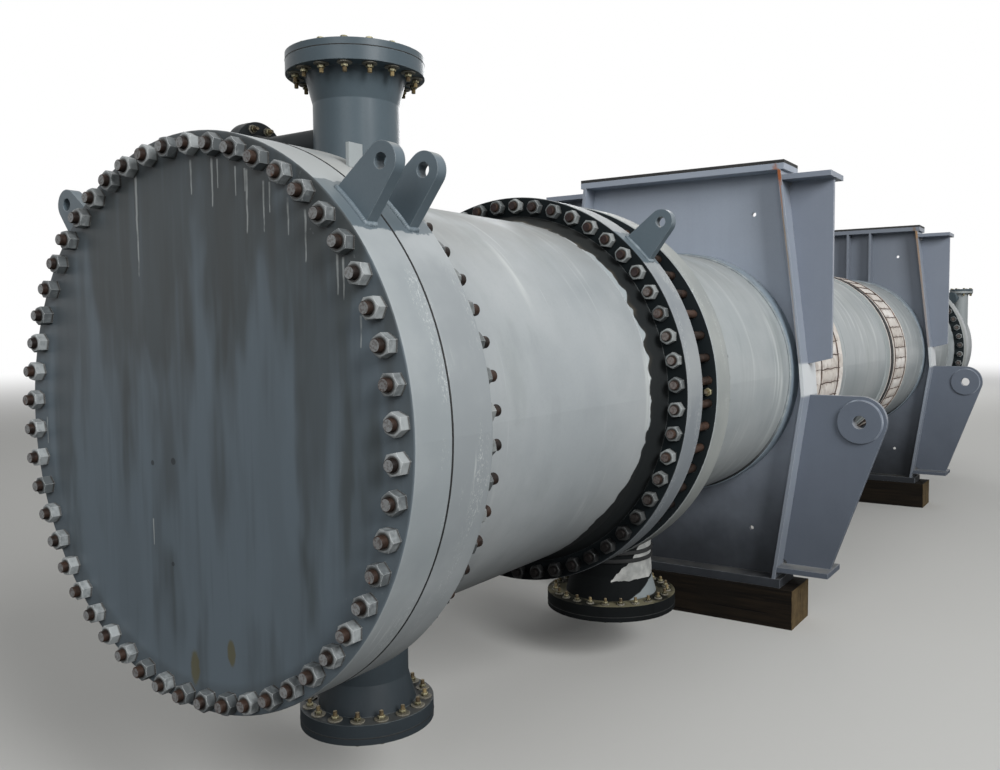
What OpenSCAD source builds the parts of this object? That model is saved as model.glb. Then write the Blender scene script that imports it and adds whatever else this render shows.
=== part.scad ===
// Shell and tube heat exchanger, laid out along +Y from the flat channel cover to the rear head.
// X runs across the vessel, Z up. The origin lies on the ground under the middle of the vessel.

/* [Vessel] */
// Outside diameter of the channel barrel and of the rear bonnet
channel_d = 1588; // [1500:1:1620]
// Wall of the channel barrel and of the rear bonnet
channel_wall = 22; // [12:1:40]
// Outside diameter of the shell barrel
shell_d = 1524; // [1400:1:1580]
// Wall of the shell barrel
shell_wall = 20; // [10:1:36]
// Thickness of the flat channel cover
cover_t = 162; // [120:1:220]
// Length between the two channel flanges
channel_length = 1438; // [1300:1:1800]
// Length between the two shell flanges
shell_length = 7674; // [7500:1:9000]
// Straight length of the rear bonnet behind its flange
bonnet_length = 1263; // [1150:1:1600]
// Crown radius ratio of the rear head: height over radius
head_ratio = 0.5; // [0.35:0.01:0.7]
// Thickness of the tubesheet between the channel and the shell
tubesheet_t = 167; // [140:1:220]
// Diameter of the tubesheet, inside the ring of studs
tubesheet_d = 1676; // [1640:1:1690]
// Thickness of every girth gasket
gasket_t = 4; // [2:1:8]

/* [Girth flanges] */
// Outside diameter of the girth flanges and the cover
flange_d = 1840; // [1825:1:1900]
// Circle on which the girth studs stand
bolt_circle_d = 1750; // [1745:1:1765]
// Number of studs in each girth flange
bolt_count = 52; // [36:1:56]
// Hole for one girth stud
bolt_hole_d = 41; // [36:1:44]
// Thickness of the channel flange behind the cover
front_flange_t = 190; // [140:1:230]
// Thickness of the flanges on both sides of the tubesheet
girth_flange_t = 165; // [120:1:210]
// Thickness of the pair of flanges at the far end of the shell
rear_flange_t = 180; // [120:1:210]
// Length of the tapered hub of a girth flange
hub_length = 110; // [70:1:150]
// Diameter of a channel flange hub where it meets the flange
channel_hub_d = 1656; // [1630:1:1664]
// Diameter of a shell flange hub where it meets the flange
shell_hub_d = 1620; // [1600:1:1650]
// Rounding of the outer edges of flanges and cover
rim_round = 6; // [3:1:12]

/* [Channel nozzles] */
// Distance from the cover face to the channel nozzles
channel_nozzle_y = 772; // [760:1:900]
// Vessel axis to the face of the top nozzle
top_nozzle_reach = 1303; // [1250:1:1400]
// Vessel axis to the face of the bottom nozzle
bottom_nozzle_reach = 1205; // [1180:1:1260]
// Outside diameter of the channel nozzle necks
nozzle_d = 324; // [300:1:340]
// Wall of the channel nozzle necks
nozzle_wall = 21; // [12:1:30]
// Outside diameter of the channel nozzle flanges
nozzle_flange_d = 520; // [510:1:540]
// Thickness of the channel nozzle flanges
nozzle_flange_t = 51; // [40:1:60]
// Length of the tapered hub of a channel nozzle
nozzle_hub_l = 107; // [60:1:110]
// Bolt circle of the channel nozzle flanges
nozzle_bolt_circle_d = 451; // [446:1:456]
// Number of bolts in a channel nozzle flange
nozzle_bolt_count = 16; // [12:1:20]
// Bolt hole of the channel nozzle flanges
nozzle_bolt_hole_d = 32; // [26:1:34]
// Thickness of the plates that close the big nozzles
blind_t = 25; // [16:1:50]

/* [Side branch] */
// Height of the side branch above the vessel axis
branch_z = 1030; // [990:1:1050]
// Distance from the nozzle axis to the face of the side branch
branch_reach = 576; // [480:1:640]
// Outside diameter of the side branch
branch_d = 114; // [90:1:130]
// Wall of the side branch
branch_wall = 9; // [6:1:14]
// Outside diameter of the branch flange
branch_flange_d = 254; // [240:1:270]
// Thickness of the branch flange and of its blind
branch_flange_t = 30; // [24:1:36]
// Length of the tapered hub of the side branch
branch_hub_l = 63; // [40:1:75]
// Bolt circle of the branch flange
branch_bolt_circle_d = 200; // [190:1:206]
// Number of bolts in the branch flange
branch_bolt_count = 8; // [6:1:10]
// Bolt hole of the branch flange
branch_bolt_hole_d = 22; // [18:1:26]

/* [Shell nozzle] */
// Distance from the cover face to the shell nozzle
shell_nozzle_y = 2821; // [2760:1:3200]
// Vessel axis to the face of the shell nozzle
shell_nozzle_reach = 1283; // [1200:1:1300]
// Outside diameter of the shell nozzle neck
shell_nozzle_d = 457; // [420:1:480]
// Wall of the shell nozzle neck
shell_nozzle_wall = 24; // [14:1:34]
// Outside diameter of the shell nozzle flange
shell_nozzle_flange_d = 740; // [720:1:770]
// Thickness of the shell nozzle flange
shell_nozzle_flange_t = 60; // [45:1:75]
// Length of the tapered hub of the shell nozzle
shell_nozzle_hub_l = 126; // [80:1:150]
// Bolt circle of the shell nozzle flange
shell_nozzle_bolt_circle_d = 650; // [640:1:660]
// Number of bolts in the shell nozzle flange
shell_nozzle_bolt_count = 24; // [16:1:28]
// Bolt hole of the shell nozzle flange
shell_nozzle_bolt_hole_d = 35; // [28:1:38]

/* [Rear nozzle] */
// Distance from the face of the bonnet flange to the rear nozzle
rear_nozzle_offset = 1170; // [900:1:1200]
// Sideways distance of the rear nozzle from the vessel axis
rear_nozzle_x = 690; // [600:1:700]
// Vessel axis level to the face of the rear nozzle
rear_nozzle_reach = 730; // [700:1:860]
// Outside diameter of the rear nozzle neck
rear_nozzle_d = 168; // [150:1:180]
// Wall of the rear nozzle neck
rear_nozzle_wall = 11; // [7:1:16]
// Outside diameter of the rear nozzle flange
rear_nozzle_flange_d = 279; // [272:1:300]
// Thickness of the rear nozzle flange
rear_nozzle_flange_t = 28; // [22:1:40]
// Length of the tapered hub of the rear nozzle
rear_nozzle_hub_l = 28; // [20:1:32]
// Bolt circle of the rear nozzle flange
rear_nozzle_bolt_circle_d = 241; // [236:1:246]
// Number of bolts in the rear nozzle flange
rear_nozzle_bolt_count = 8; // [6:1:12]
// Bolt hole of the rear nozzle flange
rear_nozzle_bolt_hole_d = 22; // [18:1:24]
// Underside of the rear nozzle flange down to the axis of the small rear branch
rear_branch_drop = 62; // [62:1:90]
// Rear nozzle axis to the closed face of the small rear branch
rear_branch_reach = 196; // [180:1:240]
// Outside diameter of the small rear branch
rear_branch_d = 60; // [48:1:66]
// Wall of the small rear branch
rear_branch_wall = 6; // [4:1:10]
// Outside diameter of the closed flange of the small rear branch
rear_branch_flange_d = 156; // [140:1:170]
// Thickness of the closed flange of the small rear branch
rear_branch_flange_t = 32; // [24:1:40]
// Turn of the small rear branch from the front towards the middle of the vessel
rear_branch_angle = 30; // [0:1:45]

/* [Lifting lugs] */
// Angle of the lifting lugs from the vertical
lug_angle = 45; // [30:1:60]
// Vessel axis to the hole of a lifting lug
lug_reach = 1076; // [1040:1:1100]
// Radius of the round end of a lifting lug
lug_end_r = 55; // [50:1:70]
// Hole of a lifting lug
lug_hole_d = 45; // [28:1:50]
// Thickness of a lifting lug
lug_t = 40; // [28:1:60]
// Width of a lifting lug at the rim
lug_base_w = 152; // [120:1:240]

/* [Supports] */
// Distance from the cover face to the front support
front_support_y = 3874; // [3800:1:4200]
// Distance between the two supports
support_spacing = 4454; // [4000:1:4800]
// Vessel axis to the top of the top plate
support_up = 1296; // [1250:1:1340]
// Vessel axis to the underside of the base plate
support_down = 1345; // [1320:1:1400]
// Half width of the top and base plates
support_half_w = 712; // [700:1:760]
// Depth of the support plates along the vessel
support_depth = 284; // [240:1:320]
// Thickness of the top plate
top_plate_t = 38; // [25:1:50]
// Thickness of the base plate
base_plate_t = 55; // [40:1:70]
// Thickness of the web
web_t = 25; // [16:1:32]
// Thickness of the slanting side plates
side_plate_t = 22; // [14:1:28]
// Outer face of the side plates at the top plate
side_top_x = 692; // [685:1:700]
// Outer face of the side plates just above the middle
side_upper_x = 836; // [832:1:850]
// Outer face of the side plates just below the middle
side_lower_x = 852; // [850:1:866]
// Outer face of the side plates at the base plate
side_foot_x = 680; // [670:1:700]
// Thickness of the bearing strip on the top plate
strip_t = 20; // [10:1:30]
// Thickness of the wear ring round the shell
ring_t = 18; // [10:1:24]
// Width of the wear ring along the shell
ring_w = 300; // [260:1:320]
// Number of stiffening ribs above the shell
rib_count = 3; // [1:1:5]
// Distance between the ribs
rib_pitch = 225; // [150:1:240]
// Thickness of a rib
rib_t = 20; // [12:1:26]

/* [Wings and pad eyes] */
// Outer edge of the upper wings
wing_x = 980; // [960:1:1000]
// Top of the support down to the wing caps
wing_drop = 71; // [60:1:100]
// Level of the lower outer corner of the wings
wing_corner_z = 99; // [85:1:140]
// Level where the wings meet the side plates
wing_heel_z = 64; // [55:1:80]
// Thickness of the wing plates
wing_t = 25; // [16:1:32]
// Thickness of the cap and foot plates of wings and pad eyes
cap_t = 32; // [20:1:38]
// How far a cap plate stands out past its wing
cap_overhang = 16; // [8:1:24]
// Vessel axis sideways to a small hole in the web
web_hole_x = 482; // [470:1:500]
// Vessel axis up to the upper holes in the web
web_hole_up = 1010; // [990:1:1040]
// Vessel axis down to the lower holes in the web
web_hole_down = 1010; // [990:1:1060]
// Diameter of a small hole in the web
web_hole_d = 28; // [20:1:36]
// Round notch where a wing or pad eye meets the side plate and its cap
notch_r = 26; // [18:1:34]
// Vessel axis sideways to the hole of a pad eye
pad_eye_x = 1154; // [1140:1:1180]
// Hole of a pad eye below the vessel axis
pad_eye_drop = 285; // [280:1:310]
// Radius of the round end of a pad eye
pad_eye_end_r = 156; // [145:1:165]
// Hole of a pad eye
pad_eye_hole_d = 80; // [60:1:100]
// Thickness of the pad eye plate
pad_eye_t = 40; // [28:1:50]
// Radius of the doubler discs of a pad eye
doubler_r = 130; // [120:1:140]
// Thickness of a doubler disc
doubler_t = 18; // [12:1:28]
// Outer edge of the pad eye foot
pad_eye_foot_x = 990; // [960:1:1010]
// Underside of the pad eye foot below the vessel axis
pad_eye_foot_drop = 1245; // [1225:1:1255]

/* [Timber and bands] */
// Height of the timbers under the base plates
timber_h = 245; // [150:1:300]
// Width of one timber along the vessel
timber_w = 172; // [120:1:200]
// Gap between the two timbers of a support
timber_gap = 6; // [3:1:20]
// Length of the timbers across the vessel
timber_l = 1600; // [1500:1:1900]
// Thickness of the blanket bands on the shell
band_t = 20; // [10:1:24]
// Distance from the front support to the front band
front_band_offset = 400; // [300:1:600]
// Width of the front band
front_band_w = 700; // [300:1:800]
// Distance from the front support to the rear band
rear_band_offset = 2600; // [2200:1:2800]
// Width of the rear band
rear_band_w = 836; // [400:1:900]

/* [Rim bracket] */
// Sideways place of the small bracket on the channel flange
bracket_x = 440; // [380:1:480]
// Height of the small bracket above the rim
bracket_h = 74; // [50:1:90]
// Thickness of the small bracket
bracket_t = 14; // [8:1:20]
// Width of the small bracket along the vessel
bracket_w = 60; // [40:1:90]

/* [Hidden] */
$fn = 96;

// Places along the vessel, measured from the face of the cover
front_flange_y = cover_t + gasket_t;
channel_y = front_flange_y + front_flange_t;
rear_flange_y = channel_y + channel_length;
tubesheet_y = rear_flange_y + girth_flange_t + gasket_t;
shell_flange_y = tubesheet_y + tubesheet_t + gasket_t;
shell_y = shell_flange_y + girth_flange_t;
shell_end_y = shell_y + shell_length;
bonnet_flange_y = shell_end_y + rear_flange_t + gasket_t;
bonnet_y = bonnet_flange_y + rear_flange_t;
head_y = bonnet_y + bonnet_length;
head_h = channel_d / 2 * head_ratio;
vessel_length = head_y + head_h;
rear_support_y = front_support_y + support_spacing;
wing_top = support_up - wing_drop;

// Radii and clearances
channel_r = channel_d / 2;
channel_bore_r = channel_r - channel_wall;
shell_r = shell_d / 2;
shell_bore_r = shell_r - shell_wall;
flange_r = flange_d / 2;
ring_r = shell_r + ring_t;
raised_face_h = 2;
past = 1;
axis_z = support_down + timber_h;

// Levels where the side plates change their slant
side_knee_high = wing_heel_z;
side_knee_low = pad_eye_end_r - pad_eye_drop;
side_levels = [
    -support_down + base_plate_t, side_knee_low, side_knee_high, support_up - top_plate_t
];

// Colours
grey_face = [0.36, 0.41, 0.43];
grey_barrel = [0.52, 0.57, 0.56];
grey_dark = [0.20, 0.24, 0.25];
grey_support = [0.50, 0.54, 0.59];
grey_lug = [0.33, 0.37, 0.41];
timber_brown = [0.33, 0.26, 0.19];
gasket_dark = [0.13, 0.13, 0.13];
blanket_cream = [0.80, 0.78, 0.70];

// Moves a shape drawn upright along the vessel axis, y from the cover face
module on_axis(y) {
    translate([0, y - vessel_length / 2, axis_z]) rotate([-90, 0, 0]) children();
}

// Moves a shape drawn about the vessel axis in X and Z to its place along the vessel
module at_y(y) {
    translate([0, y - vessel_length / 2, axis_z]) children();
}

// An outline drawn in X and Z, given a thickness centred on y = 0
module upright_plate(t) {
    translate([0, t / 2, 0]) rotate([90, 0, 0]) linear_extrude(height = t) children();
}

module both_sides() {
    children();
    mirror([1, 0, 0]) children();
}

// A ring of upright holes about the Z axis, the first half a step from +X
module bolt_holes(circle_d, count, hole_d, from, to) {
    for (i = [0 : count - 1])
        rotate([0, 0, (i + 0.5) * 360 / count])
            translate([circle_d / 2, 0, from - past])
                cylinder(d = hole_d, h = to - from + 2 * past, $fn = 24);
}

// Disc or ring with rounded outer edges
module rounded_disc(r, bore_r, t, round) {
    rotate_extrude()
        difference() {
            union() {
                translate([bore_r, 0]) square([r - round - bore_r, t]);
                translate([r - round - past, round]) square([round + past, t - 2 * round]);
                for (z = [round, t - round])
                    translate([r - round, z]) circle(r = round, $fn = 24);
            }
            translate([-2 * round, -past]) square([2 * round, t + 2 * past]);
        }
}

// Girth flange from y = 0 to t with its tapered hub behind it
module girth_flange(t, barrel_r, bore_r, hub_r) {
    difference() {
        union() {
            rounded_disc(flange_r, bore_r, t, rim_round);
            rotate_extrude()
                polygon([
                    [bore_r, t - past], [hub_r, t - past], [hub_r, t],
                    [barrel_r, t + hub_length], [bore_r, t + hub_length]
                ]);
        }
        bolt_holes(bolt_circle_d, bolt_count, bolt_hole_d, 0, t);
    }
}

module tube(r, wall, length) {
    difference() {
        cylinder(r = r, h = length);
        translate([0, 0, -past]) cylinder(r = r - wall, h = length + 2 * past);
    }
}

// Weld neck nozzle along +Z, from inside the vessel to its raised face
module weld_neck(from, reach, neck_d, wall, disc_d, disc_t, hub_l, circle_d, count, hole_d) {
    hub_r = min(neck_d / 2 + disc_t * 0.55, circle_d / 2 - hole_d);
    face_r = circle_d / 2 - hole_d;
    bore_r = neck_d / 2 - wall;
    back = reach - disc_t;
    difference() {
        rotate_extrude()
            polygon([
                [bore_r, from], [neck_d / 2, from], [neck_d / 2, back - hub_l],
                [hub_r, back], [disc_d / 2, back], [disc_d / 2, reach - raised_face_h],
                [face_r, reach - raised_face_h], [face_r, reach], [bore_r, reach]
            ]);
        bolt_holes(circle_d, count, hole_d, back, reach);
    }
}

// Plate that closes a nozzle, on its raised face
module blind(reach, disc_d, t, circle_d, count, hole_d) {
    difference() {
        translate([0, 0, reach]) cylinder(d = disc_d, h = t);
        bolt_holes(circle_d, count, hole_d, reach, reach + t);
    }
}

module channel_nozzle(reach) {
    difference() {
        weld_neck(channel_r * 0.9, reach, nozzle_d, nozzle_wall, nozzle_flange_d,
            nozzle_flange_t, nozzle_hub_l, nozzle_bolt_circle_d, nozzle_bolt_count, nozzle_bolt_hole_d);
        rotate([90, 0, 0]) cylinder(r = channel_r, h = 2 * nozzle_d, center = true);
    }
}

module channel_blind(reach) {
    blind(reach, nozzle_flange_d, blind_t, nozzle_bolt_circle_d, nozzle_bolt_count,
        nozzle_bolt_hole_d);
}

// Lifting lug of each side, welded to the rim of a girth flange or the cover
module lifting_lug(mid) {
    spread = lug_reach - flange_r;
    swing = atan2(lug_base_w / 2, spread);
    lean = acos(lug_end_r / norm([lug_base_w / 2, spread]));
    tangent = swing + lean - 90;
    root = flange_r * 0.98;
    at_y(mid) both_sides() rotate([0, lug_angle, 0]) upright_plate(lug_t)
        difference() {
            union() {
                polygon([
                    [-lug_base_w / 2, root], [lug_base_w / 2, root], [lug_base_w / 2, flange_r],
                    [lug_end_r * cos(tangent), lug_reach + lug_end_r * sin(tangent)],
                    [-lug_end_r * cos(tangent), lug_reach + lug_end_r * sin(tangent)],
                    [-lug_base_w / 2, flange_r]
                ]);
                translate([0, lug_reach]) circle(r = lug_end_r);
            }
            translate([0, lug_reach]) circle(d = lug_hole_d);
            circle(r = flange_r, $fn = 360);
        }
}

// Outer face of the side plates at a height from the vessel axis
function side_x(z) = lookup(z, [
    [-support_down + base_plate_t, side_foot_x], [side_knee_low, side_lower_x],
    [side_knee_high, side_upper_x], [support_up - top_plate_t, side_top_x]
]);

module channel_cover() {
    color(grey_face) on_axis(0)
        difference() {
            rounded_disc(flange_r, 0, cover_t, rim_round);
            bolt_holes(bolt_circle_d, bolt_count, bolt_hole_d, 0, cover_t);
        }
}

module cover_lugs() {
    color(grey_barrel) lifting_lug(cover_t / 2);
}

module girth_gasket(y, bore_r) {
    on_axis(y)
        difference() {
            cylinder(d = tubesheet_d, h = gasket_t);
            translate([0, 0, -past]) cylinder(r = bore_r, h = gasket_t + 2 * past);
        }
}

module cover_gasket() {
    color(gasket_dark) girth_gasket(cover_t, channel_bore_r);
}

module channel_front_flange() {
    color(grey_barrel) on_axis(front_flange_y)
        girth_flange(front_flange_t, channel_r, channel_bore_r, channel_hub_d / 2);
}

module channel_front_lugs() {
    color(grey_barrel) lifting_lug(front_flange_y + front_flange_t / 2);
}

module rim_bracket() {
    color(grey_barrel) at_y(front_flange_y + front_flange_t - bracket_w)
        difference() {
            translate([bracket_x - bracket_t / 2, -bracket_w / 2, flange_r * 0.8])
                cube([
                    bracket_t, bracket_w,
                    sqrt(pow(flange_r, 2) - pow(bracket_x, 2)) + bracket_h - flange_r * 0.8
                ]);
            rotate([90, 0, 0]) cylinder(r = flange_r, h = 2 * bracket_w, center = true);
        }
}

module channel_barrel() {
    color(grey_barrel)
        difference() {
            on_axis(channel_y + hub_length)
                tube(channel_r, channel_wall, channel_length - 2 * hub_length);
            at_y(channel_nozzle_y)
                cylinder(d = nozzle_d - 2 * nozzle_wall, h = 2 * channel_r + 2 * past, center = true);
        }
}

module channel_rear_flange() {
    color(grey_dark) on_axis(rear_flange_y + girth_flange_t) mirror([0, 0, 1])
        girth_flange(girth_flange_t, channel_r, channel_bore_r, channel_hub_d / 2);
}

module channel_rear_lugs() {
    color(grey_barrel) lifting_lug(rear_flange_y + girth_flange_t / 2);
}

module top_nozzle() {
    color(grey_lug) at_y(channel_nozzle_y)
        difference() {
            channel_nozzle(top_nozzle_reach);
            translate([0, 0, branch_z]) rotate([0, -90, 0])
                cylinder(d = branch_d - 2 * branch_wall, h = nozzle_d);
        }
}

module top_nozzle_blind() {
    color(grey_lug) at_y(channel_nozzle_y) channel_blind(top_nozzle_reach);
}

module branch_nozzle() {
    color(grey_dark) at_y(channel_nozzle_y) translate([0, 0, branch_z])
        difference() {
            rotate([0, -90, 0])
                weld_neck(nozzle_d / 4, branch_reach, branch_d, branch_wall, branch_flange_d,
                    branch_flange_t, branch_hub_l, branch_bolt_circle_d, branch_bolt_count, branch_bolt_hole_d);
            cylinder(d = nozzle_d, h = 2 * branch_d, center = true);
        }
}

module branch_blind() {
    color(grey_dark) at_y(channel_nozzle_y) translate([0, 0, branch_z]) rotate([0, -90, 0])
        blind(branch_reach, branch_flange_d, branch_flange_t, branch_bolt_circle_d,
            branch_bolt_count, branch_bolt_hole_d);
}

module bottom_nozzle() {
    color(grey_lug) at_y(channel_nozzle_y) mirror([0, 0, 1]) channel_nozzle(bottom_nozzle_reach);
}

module bottom_nozzle_blind() {
    color(grey_lug) at_y(channel_nozzle_y) mirror([0, 0, 1]) channel_blind(bottom_nozzle_reach);
}

module girth_gaskets() {
    color(gasket_dark) {
        girth_gasket(tubesheet_y - gasket_t, channel_bore_r);
        girth_gasket(tubesheet_y + tubesheet_t, shell_bore_r);
    }
}

module tubesheet() {
    color(gasket_dark) on_axis(tubesheet_y) cylinder(d = tubesheet_d, h = tubesheet_t);
}

module shell_front_flange() {
    color(grey_dark) on_axis(shell_flange_y)
        girth_flange(girth_flange_t, shell_r, shell_bore_r, shell_hub_d / 2);
}

module shell_barrel() {
    color(grey_barrel)
        difference() {
            on_axis(shell_y + hub_length)
                tube(shell_r, shell_wall, shell_length - 2 * hub_length);
            at_y(shell_nozzle_y) mirror([0, 0, 1])
                cylinder(d = shell_nozzle_d - 2 * shell_nozzle_wall, h = shell_r + past);
        }
}

module shell_nozzle() {
    color(grey_lug) at_y(shell_nozzle_y) mirror([0, 0, 1])
        difference() {
            weld_neck(shell_r * 0.9, shell_nozzle_reach, shell_nozzle_d, shell_nozzle_wall,
                shell_nozzle_flange_d, shell_nozzle_flange_t, shell_nozzle_hub_l,
                shell_nozzle_bolt_circle_d, shell_nozzle_bolt_count, shell_nozzle_bolt_hole_d);
            rotate([90, 0, 0]) cylinder(r = shell_r, h = 2 * shell_nozzle_d, center = true);
        }
}

module shell_nozzle_blind() {
    color(grey_lug) at_y(shell_nozzle_y) mirror([0, 0, 1])
        blind(shell_nozzle_reach, shell_nozzle_flange_d, blind_t, shell_nozzle_bolt_circle_d,
            shell_nozzle_bolt_count, shell_nozzle_bolt_hole_d);
}

module band(y, w) {
    color(blanket_cream) on_axis(y) tube(shell_r + band_t, band_t, w);
}

module front_band() {
    band(front_support_y + front_band_offset, front_band_w);
}

module rear_band() {
    band(front_support_y + rear_band_offset, rear_band_w);
}

module shell_rear_flange() {
    color(grey_dark) on_axis(shell_end_y + rear_flange_t) mirror([0, 0, 1])
        girth_flange(rear_flange_t, shell_r, shell_bore_r, shell_hub_d / 2);
}

module rear_gasket() {
    color(gasket_dark) girth_gasket(shell_end_y + rear_flange_t, channel_bore_r);
}

module bonnet_flange() {
    color(grey_barrel) on_axis(bonnet_flange_y)
        girth_flange(rear_flange_t, channel_r, channel_bore_r, channel_hub_d / 2);
}

module rear_bonnet() {
    color(grey_barrel)
        difference() {
            on_axis(bonnet_y + hub_length)
                tube(channel_r, channel_wall, bonnet_length - hub_length);
            at_y(bonnet_flange_y + rear_nozzle_offset) translate([rear_nozzle_x, 0, 0])
                cylinder(d = rear_nozzle_d - 2 * rear_nozzle_wall, h = channel_r);
        }
}

// Quarter ellipse of a head, as points from the crown to the edge or back again
function head_curve(r, h, angles) = [for (a = angles) [r * cos(a), h * sin(a)]];

module rear_head() {
    color(grey_barrel) on_axis(head_y)
        rotate_extrude()
            polygon(concat(
                head_curve(channel_r, head_h, [90 : -5 : 0]),
                head_curve(channel_bore_r, head_h - channel_wall, [0 : 5 : 90])
            ));
}

// Moves a shape drawn along +Z to the axis of the small branch on the rear nozzle
module on_rear_branch() {
    at_y(bonnet_flange_y + rear_nozzle_offset)
        translate([rear_nozzle_x, 0, rear_nozzle_reach - rear_nozzle_flange_t - rear_branch_drop])
            rotate([90, 0, -rear_branch_angle]) children();
}

module rear_nozzle() {
    color(grey_lug)
        difference() {
            at_y(bonnet_flange_y + rear_nozzle_offset) translate([rear_nozzle_x, 0, 0])
                weld_neck(channel_r * 0.2, rear_nozzle_reach, rear_nozzle_d, rear_nozzle_wall,
                    rear_nozzle_flange_d, rear_nozzle_flange_t, rear_nozzle_hub_l,
                    rear_nozzle_bolt_circle_d, rear_nozzle_bolt_count, rear_nozzle_bolt_hole_d);
            at_y(bonnet_flange_y + rear_nozzle_offset) rotate([90, 0, 0])
                cylinder(r = channel_r, h = 2 * rear_nozzle_d, center = true, $fn = 360);
            on_rear_branch() cylinder(d = rear_branch_d - 2 * rear_branch_wall, h = rear_nozzle_d);
        }
}

module rear_branch() {
    tube_l = rear_branch_reach - rear_branch_flange_t;
    color(grey_lug) on_rear_branch()
        difference() {
            union() {
                cylinder(d = rear_branch_d, h = rear_branch_reach);
                translate([0, 0, tube_l])
                    cylinder(d = rear_branch_flange_d, h = rear_branch_flange_t);
            }
            cylinder(d = rear_branch_d - 2 * rear_branch_wall, h = tube_l);
            rotate([90, 0, 0]) cylinder(d = rear_nozzle_d, h = 2 * rear_branch_d, center = true);
        }
}

module rear_nozzle_blind() {
    color(grey_lug) at_y(bonnet_flange_y + rear_nozzle_offset) translate([rear_nozzle_x, 0, 0])
        blind(rear_nozzle_reach, rear_nozzle_flange_d, blind_t, rear_nozzle_bolt_circle_d,
            rear_nozzle_bolt_count, rear_nozzle_bolt_hole_d);
}

module wear_ring() {
    color(grey_support) translate([0, -ring_w / 2, 0]) rotate([-90, 0, 0])
        tube(ring_r, ring_t, ring_w);
}

// Web between the side plates, cut out round the wear ring
module web() {
    edge = [for (z = side_levels) [side_x(z) - side_plate_t, z]];
    color(grey_support) upright_plate(web_t)
        difference() {
            polygon(concat(edge, [for (i = [3 : -1 : 0]) [-edge[i].x, edge[i].y]]));
            circle(r = ring_r, $fn = 360);
            for (side = [-1, 1], z = [web_hole_up, -web_hole_down])
                translate([side * web_hole_x, z]) circle(d = web_hole_d);
        }
}

module side_plates() {
    color(grey_support) both_sides() upright_plate(support_depth)
        polygon(concat(
            [for (z = side_levels) [side_x(z), z]],
            [for (i = [3 : -1 : 0]) [side_x(side_levels[i]) - side_plate_t, side_levels[i]]]
        ));
}

module top_plate() {
    color(grey_support)
        translate([-support_half_w, -support_depth / 2, support_up - top_plate_t])
            cube([2 * support_half_w, support_depth, top_plate_t]);
}

module bearing_strip() {
    color(gasket_dark) translate([-support_half_w, -support_depth / 2, support_up])
        cube([2 * support_half_w, support_depth, strip_t]);
}

module base_plate() {
    color(grey_support) translate([-support_half_w, -support_depth / 2, -support_down])
        cube([2 * support_half_w, support_depth, base_plate_t]);
}

// Upright ribs between the wear ring and the top plate, on the side named by facing
module ribs(facing) {
    depth = support_depth / 2 - web_t / 2;
    color(grey_support)
        for (i = [0 : rib_count - 1]) {
            x = (i - (rib_count - 1) / 2) * rib_pitch;
            difference() {
                translate([x - rib_t / 2, facing > 0 ? web_t / 2 : -web_t / 2 - depth, 0])
                    cube([rib_t, depth, support_up - top_plate_t]);
                rotate([90, 0, 0]) cylinder(r = ring_r, h = 2 * support_depth, center = true);
            }
        }
}

// Wing plates outside the side plates, each under its cap
module wings() {
    under_cap = wing_top - cap_t;
    color(grey_support) both_sides() {
        upright_plate(wing_t)
            difference() {
                polygon([
                    [side_x(wing_heel_z), wing_heel_z], [wing_x, wing_corner_z],
                    [wing_x, under_cap], [side_x(under_cap), under_cap]
                ]);
                translate([side_x(under_cap), under_cap]) circle(r = notch_r);
            }
        upright_plate(support_depth)
            polygon([
                [side_x(under_cap), under_cap], [wing_x + cap_overhang, under_cap],
                [wing_x + cap_overhang, wing_top], [side_x(wing_top), wing_top]
            ]);
    }
}

// Tapered pad eyes outside the side plates, with doublers and a foot
module pad_eyes() {
    foot_top = -pad_eye_foot_drop + cap_t;
    reach = [pad_eye_foot_x - pad_eye_x, foot_top + pad_eye_drop];
    tangent = atan2(reach.y, reach.x) + acos(pad_eye_end_r / norm(reach));
    color(grey_lug) both_sides() {
        upright_plate(pad_eye_t)
            difference() {
                union() {
                    polygon([
                        [side_x(side_knee_low), side_knee_low], [pad_eye_x, side_knee_low],
                        [pad_eye_x + pad_eye_end_r * cos(tangent),
                            -pad_eye_drop + pad_eye_end_r * sin(tangent)],
                        [pad_eye_foot_x, foot_top], [side_x(foot_top), foot_top]
                    ]);
                    translate([pad_eye_x, -pad_eye_drop]) circle(r = pad_eye_end_r);
                }
                translate([pad_eye_x, -pad_eye_drop]) circle(d = pad_eye_hole_d);
                translate([side_x(foot_top), foot_top]) circle(r = notch_r);
            }
        upright_plate(pad_eye_t + 2 * doubler_t)
            translate([pad_eye_x, -pad_eye_drop])
                difference() {
                    circle(r = doubler_r);
                    circle(d = pad_eye_hole_d);
                }
        upright_plate(support_depth)
            polygon([
                [side_x(-pad_eye_foot_drop), -pad_eye_foot_drop],
                [pad_eye_foot_x + cap_overhang, -pad_eye_foot_drop],
                [pad_eye_foot_x + cap_overhang, foot_top], [side_x(foot_top), foot_top]
            ]);
    }
}

module timbers() {
    color(timber_brown)
        for (side = [-1, 1])
            translate([
                -timber_l / 2, side * (timber_w + timber_gap) / 2 - timber_w / 2,
                -support_down - timber_h
            ])
                cube([timber_l, timber_w, timber_h]);
}

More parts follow.
